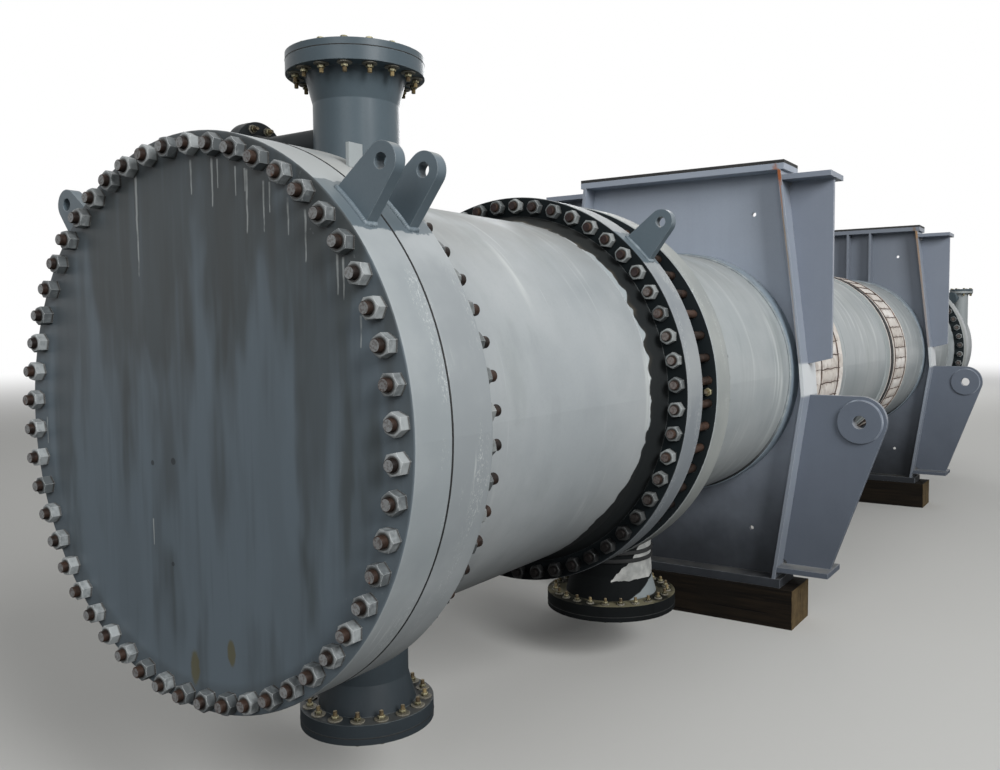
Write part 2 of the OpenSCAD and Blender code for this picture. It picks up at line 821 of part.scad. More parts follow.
module front_wear_ring() { at_y(front_support_y) wear_ring(); }
module front_web() { at_y(front_support_y) web(); }
module front_side_plates() { at_y(front_support_y) side_plates(); }
module front_top_plate() { at_y(front_support_y) top_plate(); }
module front_bearing_strip() { at_y(front_support_y) bearing_strip(); }
module front_base_plate() { at_y(front_support_y) base_plate(); }
module front_ribs() { at_y(front_support_y) ribs(1); }
module front_wings() { at_y(front_support_y) wings(); }
module front_pad_eyes() { at_y(front_support_y) pad_eyes(); }
module front_timbers() { at_y(front_support_y) timbers(); }
module rear_wear_ring() { at_y(rear_support_y) wear_ring(); }
module rear_web() { at_y(rear_support_y) web(); }
module rear_side_plates() { at_y(rear_support_y) side_plates(); }
module rear_top_plate() { at_y(rear_support_y) top_plate(); }
module rear_bearing_strip() { at_y(rear_support_y) bearing_strip(); }
module rear_base_plate() { at_y(rear_support_y) base_plate(); }
module rear_ribs() { at_y(rear_support_y) ribs(-1); }
module rear_wings() { at_y(rear_support_y) wings(); }
module rear_pad_eyes() { at_y(rear_support_y) pad_eyes(); }
module rear_timbers() { at_y(rear_support_y) timbers(); }

channel_cover();
cover_lugs();
cover_gasket();
channel_front_flange();
channel_front_lugs();
rim_bracket();
channel_barrel();
channel_rear_flange();
channel_rear_lugs();
top_nozzle();
top_nozzle_blind();
branch_nozzle();
branch_blind();
bottom_nozzle();
bottom_nozzle_blind();
girth_gaskets();
tubesheet();
shell_front_flange();
shell_barrel();
shell_nozzle();
shell_nozzle_blind();
front_band();
rear_band();
shell_rear_flange();
rear_gasket();
bonnet_flange();
rear_bonnet();
rear_head();
rear_nozzle();
rear_nozzle_blind();
rear_branch();
front_wear_ring();
front_web();
front_side_plates();
front_top_plate();
front_bearing_strip();
front_base_plate();
front_ribs();
front_wings();
front_pad_eyes();
front_timbers();
rear_wear_ring();
rear_web();
rear_side_plates();
rear_top_plate();
rear_bearing_strip();
rear_base_plate();
rear_ribs();
rear_wings();
rear_pad_eyes();
rear_timbers();
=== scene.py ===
"""Looks of the shell and tube heat exchanger.

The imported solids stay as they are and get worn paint, timber and rubber. This script adds the
studs and nuts, the weld beads, the blanket bands with their wires and the torn wrap, then sets
the floor, the lamps and the camera.
"""

import logging
import math
import random
from dataclasses import dataclass, field
from enum import Enum
from typing import Iterable, Sequence

import bmesh
import bpy
from mathutils import Euler, Matrix, Vector, noise

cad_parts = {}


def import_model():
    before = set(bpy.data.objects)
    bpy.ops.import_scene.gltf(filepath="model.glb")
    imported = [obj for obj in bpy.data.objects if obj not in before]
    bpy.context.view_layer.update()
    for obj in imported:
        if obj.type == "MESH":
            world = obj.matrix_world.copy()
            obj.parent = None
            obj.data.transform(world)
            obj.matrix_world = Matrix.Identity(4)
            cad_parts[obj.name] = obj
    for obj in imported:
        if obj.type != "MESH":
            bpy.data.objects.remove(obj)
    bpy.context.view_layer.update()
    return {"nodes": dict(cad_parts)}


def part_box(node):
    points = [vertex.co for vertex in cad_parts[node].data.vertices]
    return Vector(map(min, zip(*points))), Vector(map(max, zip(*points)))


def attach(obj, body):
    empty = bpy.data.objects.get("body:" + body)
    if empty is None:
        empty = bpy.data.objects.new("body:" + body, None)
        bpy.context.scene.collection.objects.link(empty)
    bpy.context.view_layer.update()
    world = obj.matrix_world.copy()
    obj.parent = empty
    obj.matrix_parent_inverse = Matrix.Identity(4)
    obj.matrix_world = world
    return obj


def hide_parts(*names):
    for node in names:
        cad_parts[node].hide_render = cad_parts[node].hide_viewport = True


log = logging.getLogger("exchanger")

Socket = bpy.types.NodeSocket
Point = tuple[float, float, float]
Path = list[Vector]


class Facing(Enum):
    """Ways that a ring of fasteners can look, as turns of a ring that looks up."""

    UP = (0.0, 0.0, 0.0)
    DOWN = (math.pi, 0.0, 0.0)
    FRONT = (math.pi / 2, 0.0, 0.0)
    BACK = (-math.pi / 2, 0.0, 0.0)
    LEFT = (0.0, -math.pi / 2, 0.0)
    RIGHT = (0.0, math.pi / 2, 0.0)


class Slot(Enum):
    """Material slots of the record, one for each kind of added piece."""

    COVER = "cover_paint"
    BARREL = "barrel_paint"
    FLANGE = "flange_paint"
    NOZZLE = "nozzle_paint"
    SUPPORT = "support_paint"
    PAD_EYE = "pad_eye_paint"
    BLANKET = "blanket"


# ---------------------------------------------------------------- node trees


def tone(code: str) -> tuple[float, float, float, float]:
    """Turn a six-digit screen colour into a linear colour.

    Args:
        code: the colour as rrggbb.

    Returns:
        The linear colour with full alpha.
    """
    parts = [int(code[i : i + 2], 16) / 255 for i in (0, 2, 4)]
    red, green, blue = (c / 12.92 if c <= 0.04045 else ((c + 0.055) / 1.055) ** 2.4 for c in parts)
    return (red, green, blue, 1.0)


class Value:
    """One output in a node tree. Arithmetic on it adds Math nodes to the tree."""

    def __init__(self, wires: "Wiring", socket: Socket) -> None:
        """Hold an output and the tree that it is in."""
        self.wires = wires
        self.socket = socket

    def __add__(self, other: object) -> "Value":
        """Add a value or a number."""
        return self.wires.math("ADD", self, other)

    def __sub__(self, other: object) -> "Value":
        """Take a value or a number away."""
        return self.wires.math("SUBTRACT", self, other)

    def __rsub__(self, other: object) -> "Value":
        """Take this value away from a number."""
        return self.wires.math("SUBTRACT", other, self)

    def __mul__(self, other: object) -> "Value":
        """Multiply by a value or a number."""
        return self.wires.math("MULTIPLY", self, other)

    def __truediv__(self, other: object) -> "Value":
        """Divide by a value or a number."""
        return self.wires.math("DIVIDE", self, other)

    def __abs__(self) -> "Value":
        """Drop the sign."""
        return self.wires.math("ABSOLUTE", self)

    __radd__ = __add__
    __rmul__ = __mul__

    def above(self, limit: float) -> "Value":
        """Return 1 above a limit and 0 below it."""
        return self.wires.math("GREATER_THAN", self, limit)

    def span(self, low: object, high: object) -> "Value":
        """Rise softly from 0 at low to 1 at high."""
        feeds = {0: self, 1: low, 2: high}
        return self.wires.take("ShaderNodeMapRange", feeds, interpolation_type="SMOOTHSTEP")

    def window(self, low: float, high: float, soft: float) -> "Value":
        """Return 1 between low and high, with edges as wide as soft."""
        return self.span(low - soft, low + soft) * (1 - self.span(high - soft, high + soft))


class Wiring:
    """Short calls that add linked nodes to one shader or geometry tree."""

    def __init__(self, tree: bpy.types.NodeTree) -> None:
        """Start on a tree."""
        self.tree = tree

    def feed(self, socket: Socket, value: object) -> None:
        """Link an input to a value of the tree, or set a number or a colour on it.

        Args:
            socket: the input.
            value: a Value, a colour as rrggbb, or what the input itself can hold.
        """
        if isinstance(value, Value):
            self.tree.links.new(value.socket, socket)
        elif isinstance(value, str) and socket.type == "RGBA":
            socket.default_value = tone(value)
        else:
            socket.default_value = value

    def add(self, kind: str, feeds: dict | None = None, **settings: object) -> bpy.types.Node:
        """Add a node.

        Args:
            kind: the node's class name.
            feeds: what each input gets, by the input's name or number.
            settings: properties of the node itself.

        Returns:
            The new node.
        """
        node = self.tree.nodes.new(kind)
        for name, value in settings.items():
            setattr(node, name, value)
        for key, value in (feeds or {}).items():
            self.feed(node.inputs[key], value)
        return node

    def take(
        self, kind: str, feeds: dict | None = None, out: str | int = 0, **settings: object
    ) -> Value:
        """Add a node and take one of its outputs.

        Args:
            kind: the node's class name.
            feeds: what each input gets, by the input's name or number.
            out: name or number of the output.
            settings: properties of the node itself.

        Returns:
            The output.
        """
        return Value(self, self.add(kind, feeds, **settings).outputs[out])

    def math(self, operation: str, a: object, b: object = 0.0) -> Value:
        """Add a Math node and return its result."""
        return self.take("ShaderNodeMath", {0: a, 1: b}, operation=operation)

    def mix(self, amount: object, a: object, b: object) -> Value:
        """Mix two colours."""
        return self.take("ShaderNodeMix", {0: amount, 6: a, 7: b}, 2, data_type="RGBA")

    def split(self, vector: Value) -> tuple[Value, Value, Value]:
        """Return the three parts of a vector."""
        outputs = self.add("ShaderNodeSeparateXYZ", {0: vector}).outputs
        return Value(self, outputs[0]), Value(self, outputs[1]), Value(self, outputs[2])

    def join(self, x: object, y: object, z: object) -> Value:
        """Make a vector of three values."""
        return self.take("ShaderNodeCombineXYZ", {0: x, 1: y, 2: z})

    def length(self, *parts: Value) -> Value:
        """Return the length of a vector from its parts.

        Args:
            parts: the parts along the axes.

        Returns:
            The square root of the sum of their squares.
        """
        total = parts[0] * parts[0]
        for part in parts[1:]:
            total = total + part * part
        return self.math("SQRT", total)

    def cloud(
        self,
        coords: Value,
        scale: object,
        detail: float = 4.0,
        rough: float = 0.55,
        shift: Point = (0.0, 0.0, 0.0),
    ) -> Value:
        """Add a cloudy noise from 0 to 1.

        Args:
            coords: the place in the pattern.
            scale: how fine it is, or how fine along X, Y and Z.
            detail: how many finer layers it has.
            rough: how strong the finer layers are.
            shift: what is added to the place once it is scaled.

        Returns:
            The noise.
        """
        if isinstance(scale, tuple):
            feeds = {"Vector": coords, "Scale": scale, "Location": shift}
            coords, scale = self.take("ShaderNodeMapping", feeds), 1.0
        feeds = {"Vector": coords, "Scale": scale, "Detail": detail, "Roughness": rough}
        return self.take("ShaderNodeTexNoise", feeds)

    def normal(self) -> tuple[Value, Value, Value]:
        """Return the three parts of the surface's own direction."""
        return self.split(self.take("ShaderNodeNewGeometry", out="Normal"))

    def attribute(self, name: str, out: str = "Fac") -> Value:
        """Read an attribute that the mesh carries."""
        return self.take("ShaderNodeAttribute", out=out, attribute_name=name)

    def light_level(self, colour: Value) -> Value:
        """Return how light a colour is."""
        return self.take("ShaderNodeRGBToBW", {0: colour})

    def seen(self) -> Value:
        """Return 1 for rays that show the scene, straight or in metal or glass, and 0 for light.

        Returns:
            1 for those rays and 0 for the others.
        """
        path = self.add("ShaderNodeLightPath").outputs
        camera, glossy, clear = (
            Value(self, path[f"Is {kind} Ray"]) for kind in ("Camera", "Glossy", "Transmission")
        )
        return self.math("MAXIMUM", self.math("MAXIMUM", camera, glossy), clear)

    def effect(self, tree: bpy.types.NodeTree, **values: object) -> dict[str, Value]:
        """Place a shared shader group.

        Args:
            tree: the group.
            values: what its inputs get, with underscores in their names read as spaces.

        Returns:
            The group's outputs by name.
        """
        feeds = {name.replace("_", " "): value for name, value in values.items()}
        node = self.add("ShaderNodeGroup", node_tree=tree)
        for name, value in feeds.items():
            self.feed(node.inputs[name], value)
        return {output.name: Value(self, output) for output in node.outputs}


class Group(Wiring):
    """A node group with named sockets."""

    KINDS = {float: "Float", int: "Int", tuple: "Color"}

    def __init__(self, name: str, kind: str, inputs: dict, outputs: dict[str, str]) -> None:
        """Make the group with nothing in it.

        Args:
            name: the group's name.
            kind: Shader or Geometry.
            inputs: a default value for each input, or the kind of one that has none.
            outputs: the kind of each output.
        """
        super().__init__(bpy.data.node_groups.new(name, kind + "NodeTree"))
        for label, value in inputs.items():
            bare = isinstance(value, str)
            item = self.tree.interface.new_socket(
                name=label,
                in_out="INPUT",
                socket_type="NodeSocket" + (value if bare else self.KINDS[type(value)]),
            )
            if not bare:
                item.default_value = value
        for label, socket in outputs.items():
            self.tree.interface.new_socket(
                name=label, in_out="OUTPUT", socket_type="NodeSocket" + socket
            )
        given = self.add("NodeGroupInput").outputs
        self.given = {label: Value(self, given[label]) for label in inputs}
        self.output = self.add("NodeGroupOutput")

    def close(self, **results: Value) -> bpy.types.NodeTree:
        """Link the group's outputs by name and return its tree.

        Args:
            results: the value of each output.

        Returns:
            The tree.
        """
        for name, value in results.items():
            self.feed(self.output.inputs[name], value)
        return self.tree


class Skin(Wiring):
    """A new material with its Principled shader and the coordinates that its patterns read."""

    def __init__(self, name: str) -> None:
        """Make the material.

        Args:
            name: the material's name.
        """
        self.material = bpy.data.materials.new(name)
        self.material.use_nodes = True
        self.material.node_tree.nodes.clear()
        super().__init__(self.material.node_tree)
        self.shader = self.add("ShaderNodeBsdfPrincipled")
        film = Value(self, self.shader.outputs[0])
        self.output = self.add("ShaderNodeOutputMaterial", {"Surface": film})
        self.coords = self.take("ShaderNodeTexCoord", out="Object")

    def finish(
        self,
        colour: Value,
        rough: Value,
        bump: dict,
        gloss: float = 0.5,
        metallic: float = 0.0,
    ) -> bpy.types.Material:
        """Link the Principled shader.

        Args:
            colour: its base colour.
            rough: its roughness.
            bump: inputs of the Bump node that turns its normal.
            gloss: its specular level.
            metallic: how metallic it is.

        Returns:
            The material.
        """
        self.feed(self.shader.inputs["Base Color"], colour)
        self.feed(self.shader.inputs["Roughness"], rough)
        self.feed(self.shader.inputs["Normal"], self.take("ShaderNodeBump", bump))
        self.shader.inputs["Specular IOR Level"].default_value = gloss
        self.shader.inputs["Metallic"].default_value = metallic
        return self.material


# ------------------------------------------------------ shared shader effects


class Effects:
    """Shader groups that several finishes share, each built once."""

    def __init__(self) -> None:
        """Build every group."""
        self.weathering = self._weathering()
        self.edge_wear = self._edge_wear()
        self.rust = self._rust()
        self.settled_dust = self._settled_dust()

    @staticmethod
    def _weathering() -> bpy.types.NodeTree:
        """Sun-bleached clouds, rain streaks and fine specks on paint.

        Returns:
            The group.
        """
        grey = (0.3, 0.3, 0.3, 1.0)
        w = Group(
            "weathering",
            "Shader",
            {
                "Coords": "Vector",
                "Base": grey,
                "Pale": grey,
                "Dirt": grey,
                "Clouds": 0.5,
                "Streaks": 0.4,
                "Streak width": 7.0,
                "Specks": 0.2,
            },
            {"Colour": "Color", "Mask": "Float", "Height": "Float"},
        )
        coords, base, pale, dirt, clouds, streaks, width, specks = w.given.values()
        broad = w.cloud(coords, 0.9, 5.0).span(0.36, 0.66)
        patch = w.cloud(coords, 4.2).span(0.42, 0.68)
        colour = w.mix(broad * clouds, base, pale)
        colour = w.mix(patch * clouds * 0.3, colour, dirt)
        feeds = {0: coords, 1: w.join(width, width, 0.4)}
        lines = w.take("ShaderNodeVectorMath", feeds, operation="MULTIPLY")
        pale_run = w.cloud(lines, 1.0, 3.0, 0.6).span(0.56, 0.74)
        dark_run = w.cloud(lines, (1.2, 1.2, 1.2), 4.0, 0.6, (6.36, 2.52, 10.56)).span(0.52, 0.72)
        colour = w.mix(pale_run * streaks * 0.75, colour, pale)
        colour = w.mix(dark_run * streaks * 0.55, colour, dirt)
        fine = w.cloud(coords, 90.0, 2.0)
        colour = w.mix(fine.span(0.55, 0.8) * specks, colour, pale)
        colour = w.mix(fine.span(0.46, 0.25) * specks, colour, dirt)
        height = w.cloud(coords, 260.0, 2.0) * 0.35 + w.cloud(coords, 30.0, 3.0) * 0.65
        return w.close(Colour=colour, Mask=broad * 0.5 + dark_run * 0.5, Height=height)

    @staticmethod
    def _edge_wear() -> bpy.types.NodeTree:
        """Worn or lit edges, found where a rounded normal leaves the flat one.

        Returns:
            The group.
        """
        w = Group(
            "edge_wear",
            "Shader",
            {"Coords": "Vector", "Radius": 0.004, "Raggedness": 0.5},
            {"Mask": "Float", "Normal": "Vector"},
        )
        coords, radius, ragged = w.given.values()
        rounded = w.take("ShaderNodeBevel", {"Radius": radius}, samples=4)
        feeds = {0: rounded, 1: w.take("ShaderNodeNewGeometry", out="Normal")}
        meeting = w.take("ShaderNodeVectorMath", feeds, "Value", operation="DOT_PRODUCT")
        torn = w.cloud(coords, 35.0).span(0.35, 0.6)
        mask = meeting.span(0.995, 0.9) * ((1 - ragged) + torn * ragged)
        return w.close(Mask=mask, Normal=rounded)

    @staticmethod
    def _rust() -> bpy.types.NodeTree:
        """Orange and brown rust colours with a patchy mask.

        Returns:
            The group.
        """
        w = Group(
            "rust",
            "Shader",
            {"Coords": "Vector", "Scale": 30.0, "Cover": 0.5},
            {"Colour": "Color", "Mask": "Float"},
        )
        coords, scale, cover = w.given.values()
        deep = w.mix(w.cloud(coords, scale, 5.0, 0.65).span(0.35, 0.6), "3a2218", "7d4a2a")
        bright = w.mix(w.cloud(coords, scale * 2.7, 3.0).span(0.5, 0.72), deep, "b5713a")
        limit = 1 - cover
        patch = w.cloud(coords, scale * 0.45)
        return w.close(Colour=bright, Mask=patch.span(limit - 0.08, limit + 0.08))

    @staticmethod
    def _settled_dust() -> bpy.types.NodeTree:
        """Dust that lies on faces that look up.

        Returns:
            The group.
        """
        inputs = {"Coords": "Vector", "Amount": 0.4}
        w = Group("settled_dust", "Shader", inputs, {"Mask": "Float"})
        coords, amount = w.given.values()
        patchy = w.cloud(coords, 3.5, 5.0).span(0.3, 0.65)
        return w.close(Mask=w.normal()[2].span(0.55, 0.98) * patchy * amount)


# ------------------------------------------------------------------ finishes


@dataclass(frozen=True)
class Vessel:
    """Stations and radii that finishes and pieces share, in metres."""

    axis_z: float = 1.590
    cover_y: float = -5.9985
    flange_r: float = 0.920
    circle_r: float = 0.875
    channel_r: float = 0.794
    shell_r: float = 0.762
    studs: int = 52
    hub_l: float = 0.110
    lug_turn: float = math.radians(45)
    lug_end_y: float = -4.030
    spray_y: float = -4.3150

    def radius(self, w: Wiring, x: Value, z: Value) -> Value:
        """Distance from the vessel axis, in a shader."""
        return w.length(x, z - self.axis_z)

    def lug_spray(self, w: Skin) -> Value:
        """Ragged patch on a rim round the foot of each lifting lug, in a shader.

        Args:
            w: the material.

        Returns:
            The mask.
        """
        x, y, z = w.split(w.coords)
        turn = w.math("ARCTAN2", abs(x), z - self.axis_z)
        along = (turn - self.lug_turn) * self.flange_r
        ragged = w.cloud(w.coords, 16.0) * 0.07 - 0.035
        patch = (along + ragged).window(-0.118, 0.088, 0.003)
        return patch * (1 - y.above(self.lug_end_y))


VESSEL = Vessel()


@dataclass(frozen=True)
class Paint:
    """A weathered paint film, the base of every painted finish."""

    name: str
    base: str
    pale: str
    dirt: str
    roughness: float = 0.5
    clouds: float = 0.5
    streaks: float = 0.35
    streak_width: float = 7.0
    specks: float = 0.12
    wear: float = 0.5
    wear_radius: float = 0.004
    wear_tone: str = "b9bfbf"
    dust: float = 0.35
    dust_tone: str = "b8b4a8"
    # Painted shade towards the ground: how much, and its colour.
    low_shade: float = 0.0
    low_shade_tone: str = "15171a"
    gloss: float = 0.32
    bump: float = 0.10

    def features(self, w: Skin, fx: Effects, colour: Value) -> Value:
        """Add the marks that only this finish has.

        Args:
            w: the material.
            fx: the shared shader groups.
            colour: the weathered film.

        Returns:
            The marked film. The plain one has no marks.
        """
        return colour

    def build(self, fx: Effects) -> bpy.types.Material:
        """Build the material: film, marks, painted shade low on the vessel, dust and worn edges.

        Args:
            fx: the shared shader groups.

        Returns:
            The new material.
        """
        w = Skin(self.name)
        film = w.effect(
            fx.weathering,
            Coords=w.coords,
            Base=self.base,
            Pale=self.pale,
            Dirt=self.dirt,
            Clouds=self.clouds,
            Streaks=self.streaks,
            Streak_width=self.streak_width,
            Specks=self.specks,
        )
        colour = self.features(w, fx, film["Colour"])
        # Painted shade: the film darkens towards the ground, low on the vessel.
        height = w.split(w.coords)[2] + w.cloud(w.coords, 5.0, 3.0) * 0.3
        colour = w.mix(height.span(1.55, 0.35) * self.low_shade, colour, self.low_shade_tone)
        held = w.light_level(colour).span(0.01, 0.10) * 0.75 + 0.25
        dust = w.effect(fx.settled_dust, Coords=w.coords, Amount=self.dust)["Mask"] * held
        colour = w.mix(dust, colour, self.dust_tone)
        wear = w.effect(fx.edge_wear, Coords=w.coords, Radius=self.wear_radius, Raggedness=0.5)
        colour = w.mix(wear["Mask"] * self.wear, colour, self.wear_tone)
        dark = w.light_level(colour).span(0.06, 0.01)
        rough = film["Mask"] * 0.16 + (self.roughness - 0.08) + dust * 0.2 + dark * 0.25
        bump = {
            "Strength": self.bump,
            "Distance": 0.002,
            "Height": film["Height"],
            "Normal": wear["Normal"],
        }
        return w.finish(colour, rough, bump, self.gloss)


@dataclass(frozen=True)
class CoverPaint(Paint):
    """Flat cover: fingers of darker and lighter film, paler rim, runs under the nuts, stains.

    Stains and scars are (x, height over the axis, radius). Drips are (x, height over the axis,
    length, width).
    """

    rim_base: str = "8d9497"
    rim_pale: str = "aeb3b5"
    finger: str = "636f78"
    shade: str = "3e4141"
    back_tone: str = "101213"
    drip_tone: str = "a7acac"
    stains: tuple[Point, ...] = ((-0.021, -0.785, 0.026), (0.162, -0.705, 0.020))
    scars: tuple[Point, ...] = (
        (-0.21, -0.133, 0.010),
        (-0.10, -0.12, 0.012),
        (-0.118, -0.46, 0.008),
    )
    drips: tuple[tuple[float, float, float, float], ...] = (
        (-0.250, 0.815, 0.34, 0.0050),
        (0.032, 0.830, 0.11, 0.0040),
        (0.131, 0.825, 0.15, 0.0042),
        (0.157, 0.820, 0.09, 0.0030),
        (0.238, 0.790, 0.09, 0.0030),
        (0.280, 0.780, 0.07, 0.0034),
        (0.288, 0.775, 0.19, 0.0042),
        (0.361, 0.735, 0.15, 0.0034),
        (0.387, 0.730, 0.09, 0.0030),
        (0.462, 0.680, 0.11, 0.0036),
        (0.531, 0.640, 0.15, 0.0036),
        (0.653, 0.525, 0.13, 0.0040),
        (0.675, 0.500, 0.12, 0.0034),
        (0.736, 0.340, 0.09, 0.0030),
        (-0.215, -0.320, 0.09, 0.0026),
        (-0.835, -0.010, 0.10, 0.0030),
    )

    def features(self, w: Skin, fx: Effects, colour: Value) -> Value:
        """Add the fingers, the spots, the runs and the paler rim.

        Args:
            w: the material.
            fx: the shared shader groups.
            colour: the weathered film.

        Returns:
            The marked film.
        """
        x, y, z = w.split(w.coords)
        up = z - VESSEL.axis_z
        radius = VESSEL.radius(w, x, z)
        colour = self.fingers(w, up, radius, colour)
        colour = self.spots(w, x, up, colour)
        colour = w.mix(self.runs(w, x, up) * 0.75, colour, self.drip_tone)
        dabs = w.cloud(w.coords, 26.0).span(0.66, 0.74) * x.span(0.35, 0.7)
        dabs = dabs * radius.window(0.79, 0.915, 0.01)
        colour = w.mix(dabs * 0.5, colour, "9aa0a0")
        rim = y.span(VESSEL.cover_y + 0.0015, VESSEL.cover_y + 0.004)
        colour = w.mix(rim, colour, rim_paint(w, self.rim_base, self.rim_pale))
        return w.mix(w.normal()[1].span(0.90, 0.96), colour, self.back_tone)

    def fingers(self, w: Skin, up: Value, radius: Value, colour: Value) -> Value:
        """Add lighter film that widens to the bottom and dark fingers that hang from the top.

        Args:
            w: the material.
            up: height over the axis.
            radius: distance from the axis.
            colour: the film so far.

        Returns:
            The film with the fingers.
        """
        sunk = up.span(0.85, -0.45)
        broad = w.cloud(w.coords, (4.6, 1.0, 1.15), 3.0, 0.5)
        fine = w.cloud(w.coords, (9.5, 1.0, 1.5), 3.0, 0.5, (4.0, 0.0, 9.0))
        hung = w.cloud(w.coords, (8.0, 1.0, 0.95), 3.0, 0.5, (2.0, 0.0, 5.0))
        thin = w.cloud(w.coords, (22.0, 1.0, 1.1), 3.0, 0.55, (9.0, 0.0, 2.0))
        border = (radius + broad * 0.02).span(0.822, 0.852)
        for mask, amount, film in (
            ((sunk * 0.22 + broad).span(0.52, 0.64), 0.75, self.finger),
            ((sunk * 0.16 + fine).span(0.56, 0.70), 0.55, self.finger),
            ((sunk * -0.13 + hung).span(0.38, 0.55), 0.54, self.shade),
            (thin.span(0.54, 0.72), 0.20, self.shade),
            (thin.span(0.46, 0.30), 0.14, self.finger),
            (border, 0.3, self.shade),
        ):
            colour = w.mix(mask * amount, colour, film)
        return colour

    def spots(self, w: Skin, x: Value, up: Value, colour: Value) -> Value:
        """Add the tall brown stains near the bottom and the small dark scars.

        Args:
            w: the material.
            x: place across the cover.
            up: height over the axis.
            colour: the film so far.

        Returns:
            The film with the spots.
        """
        rough = w.cloud(w.coords, 18.0) * 0.9 - 0.45
        marks = [(*stain, 0.45, "5c5637") for stain in self.stains]
        marks += [(*scar, 1.0, "2b2e30") for scar in self.scars]
        for place_x, place_up, size, flat, film in marks:
            gap = w.length((x - place_x) / size, (up - place_up) / size * flat)
            colour = w.mix((gap + rough).span(1.1, 0.75) * 0.75, colour, film)
        return colour

    def runs(self, w: Skin, x: Value, up: Value) -> Value:
        """Find the pale runs of paint below the upper nuts, each of which narrows to its end.

        Args:
            w: the material.
            x: place across the cover.
            up: height over the axis.

        Returns:
            The mask of the runs.
        """
        across = x + (w.cloud(w.coords, (2.0, 1.0, 7.0), 3.0) * 0.016 - 0.008)
        mask: object = 0.0
        for place, top, length, width in self.drips:
            along = (top - up) / length
            half = along * (-0.9 * width) + 1.75 * width
            line = 1 - abs(across - place).span(half * 0.35, half)
            mask = w.math("MAXIMUM", mask, line * along.window(0.0, 0.97, 0.03))
        return w.cloud(w.coords, (3.0, 1.0, 14.0), 3.0).span(0.25, 0.55) * mask


def rim_paint(w: Skin, base: str, pale: str) -> Value:
    """Light rim colour with cloudy fading, dry white scuffs and the overspray round the lugs.

    Args:
        w: the material.
        base: tone of the rim.
        pale: tone where it has faded.

    Returns:
        The rim's colour.
    """
    colour = w.mix(w.cloud(w.coords, 1.6, 5.0).span(0.4, 0.65) * 0.55, base, pale)
    brushed = w.cloud(w.coords, (70.0, 150.0, 70.0), 7.0, 0.85).span(0.54, 0.59)
    where = w.cloud(w.coords, (2.2, 9.0, 2.2), 3.0).span(0.52, 0.64)
    colour = w.mix(brushed * where * 0.55, colour, "d6dada")
    stroke = w.cloud(w.coords, (1.6, 32.0, 1.6), 5.0, 0.65, (1.0, 0.0, 4.0)).span(0.60, 0.70)
    patch = w.cloud(w.coords, (1.5, 4.0, 1.5), 3.0, shift=(7.0, 2.0, 3.0)).span(0.50, 0.62)
    colour = w.mix(stroke * patch * 0.6, colour, "c9cecd")
    return w.mix(VESSEL.lug_spray(w) * 0.92, colour, "55626a")


def barrel_marks(w: Skin, colour: object) -> Value:
    """Add whitish smears and faint darker strokes round a barrel.

    Args:
        w: the material.
        colour: the film so far.

    Returns:
        The marked film.
    """
    smear = w.cloud(w.coords, (0.8, 7.5, 0.8), 4.0, 0.6).span(0.54, 0.68)
    patch = w.cloud(w.coords, 1.3, 3.0).span(0.42, 0.6)
    colour = w.mix(smear * patch * 0.5, colour, "c9cecc")
    fine = w.cloud(w.coords, (1.2, 30.0, 1.2), 4.0, 0.6, (6.0, 1.0, 2.0)).span(0.62, 0.70)
    colour = w.mix(fine * patch * 0.55, colour, "c4c9c8")
    dull = w.cloud(w.coords, (1.4, 3.2, 1.4), shift=(3.0, 7.0, 1.0)).span(0.56, 0.70)
    return w.mix(dull * 0.35, colour, "7f8786")


def overspray(w: Skin, colour: Value) -> Value:
    """Add the channel's dark rear overspray, its scalloped brown edge, and painted shade low down.

    Args:
        w: the material.
        colour: the film so far.

    Returns:
        The film with the overspray.
    """
    x, y, z = w.split(w.coords)
    angle = w.math("ARCTAN2", z - VESSEL.axis_z, x)
    arc = w.join(angle * VESSEL.channel_r, y * 0.25, 0.0)
    cells = {"Vector": arc, "Scale": 17.0, "Randomness": 0.85, "Smoothness": 0.35}
    scallop = w.take("ShaderNodeTexVoronoi", cells, "Distance", feature="SMOOTH_F1")
    ragged = scallop * -0.050 + w.cloud(w.coords, 4.0, 3.0) * 0.10
    # Below the axis the dark edge comes further forward: overspray, and painted shade under the
    # barrel.
    low = z.span(VESSEL.axis_z - 0.05, VESSEL.axis_z - 0.75) * 0.13
    edge = y + ragged + low - VESSEL.spray_y
    thin = edge.span(0.060, 0.022) * z.span(VESSEL.axis_z - 0.2, VESSEL.axis_z + 0.5)
    dark = w.mix(w.cloud(w.coords, 7.0).span(0.40, 0.66) * thin, "0b0e0f", "453f35")
    return w.mix(edge.span(0.022, 0.030) * 0.97, colour, dark)


@dataclass(frozen=True)
class FlangePaint(Paint):
    """Girth flange: its front face in the plain film, its rim, hub and back lighter."""

    rim_base: str = "90979a"
    rim_pale: str = "b2b7b9"
    hub_base: str = "98a0a3"
    hub_pale: str = "b1b6b8"
    dark_hub: bool = False

    def features(self, w: Skin, fx: Effects, colour: Value) -> Value:
        """Add the lighter rim and hub, and the overspray on the hub where there is some.

        Args:
            w: the material.
            fx: the shared shader groups.
            colour: the weathered film.

        Returns:
            The marked film.
        """
        x, _, z = w.split(w.coords)
        hub = w.mix(w.cloud(w.coords, 2.0).span(0.4, 0.65), self.hub_base, self.hub_pale)
        hub = barrel_marks(w, hub)
        if self.dark_hub:
            hub = overspray(w, hub)
        colour = w.mix(w.normal()[1].span(-0.93, -0.97), hub, colour)
        rim = VESSEL.radius(w, x, z).span(VESSEL.flange_r - 0.0035, VESSEL.flange_r - 0.001)
        return w.mix(rim, colour, rim_paint(w, self.rim_base, self.rim_pale))


@dataclass(frozen=True)
class ChannelPaint(Paint):
    """Channel barrel: pale film with smears, dark overspray near the rear flange and painted shade.
    """

    def features(self, w: Skin, fx: Effects, colour: Value) -> Value:
        """Add the smears and the scalloped overspray."""
        return overspray(w, barrel_marks(w, colour))


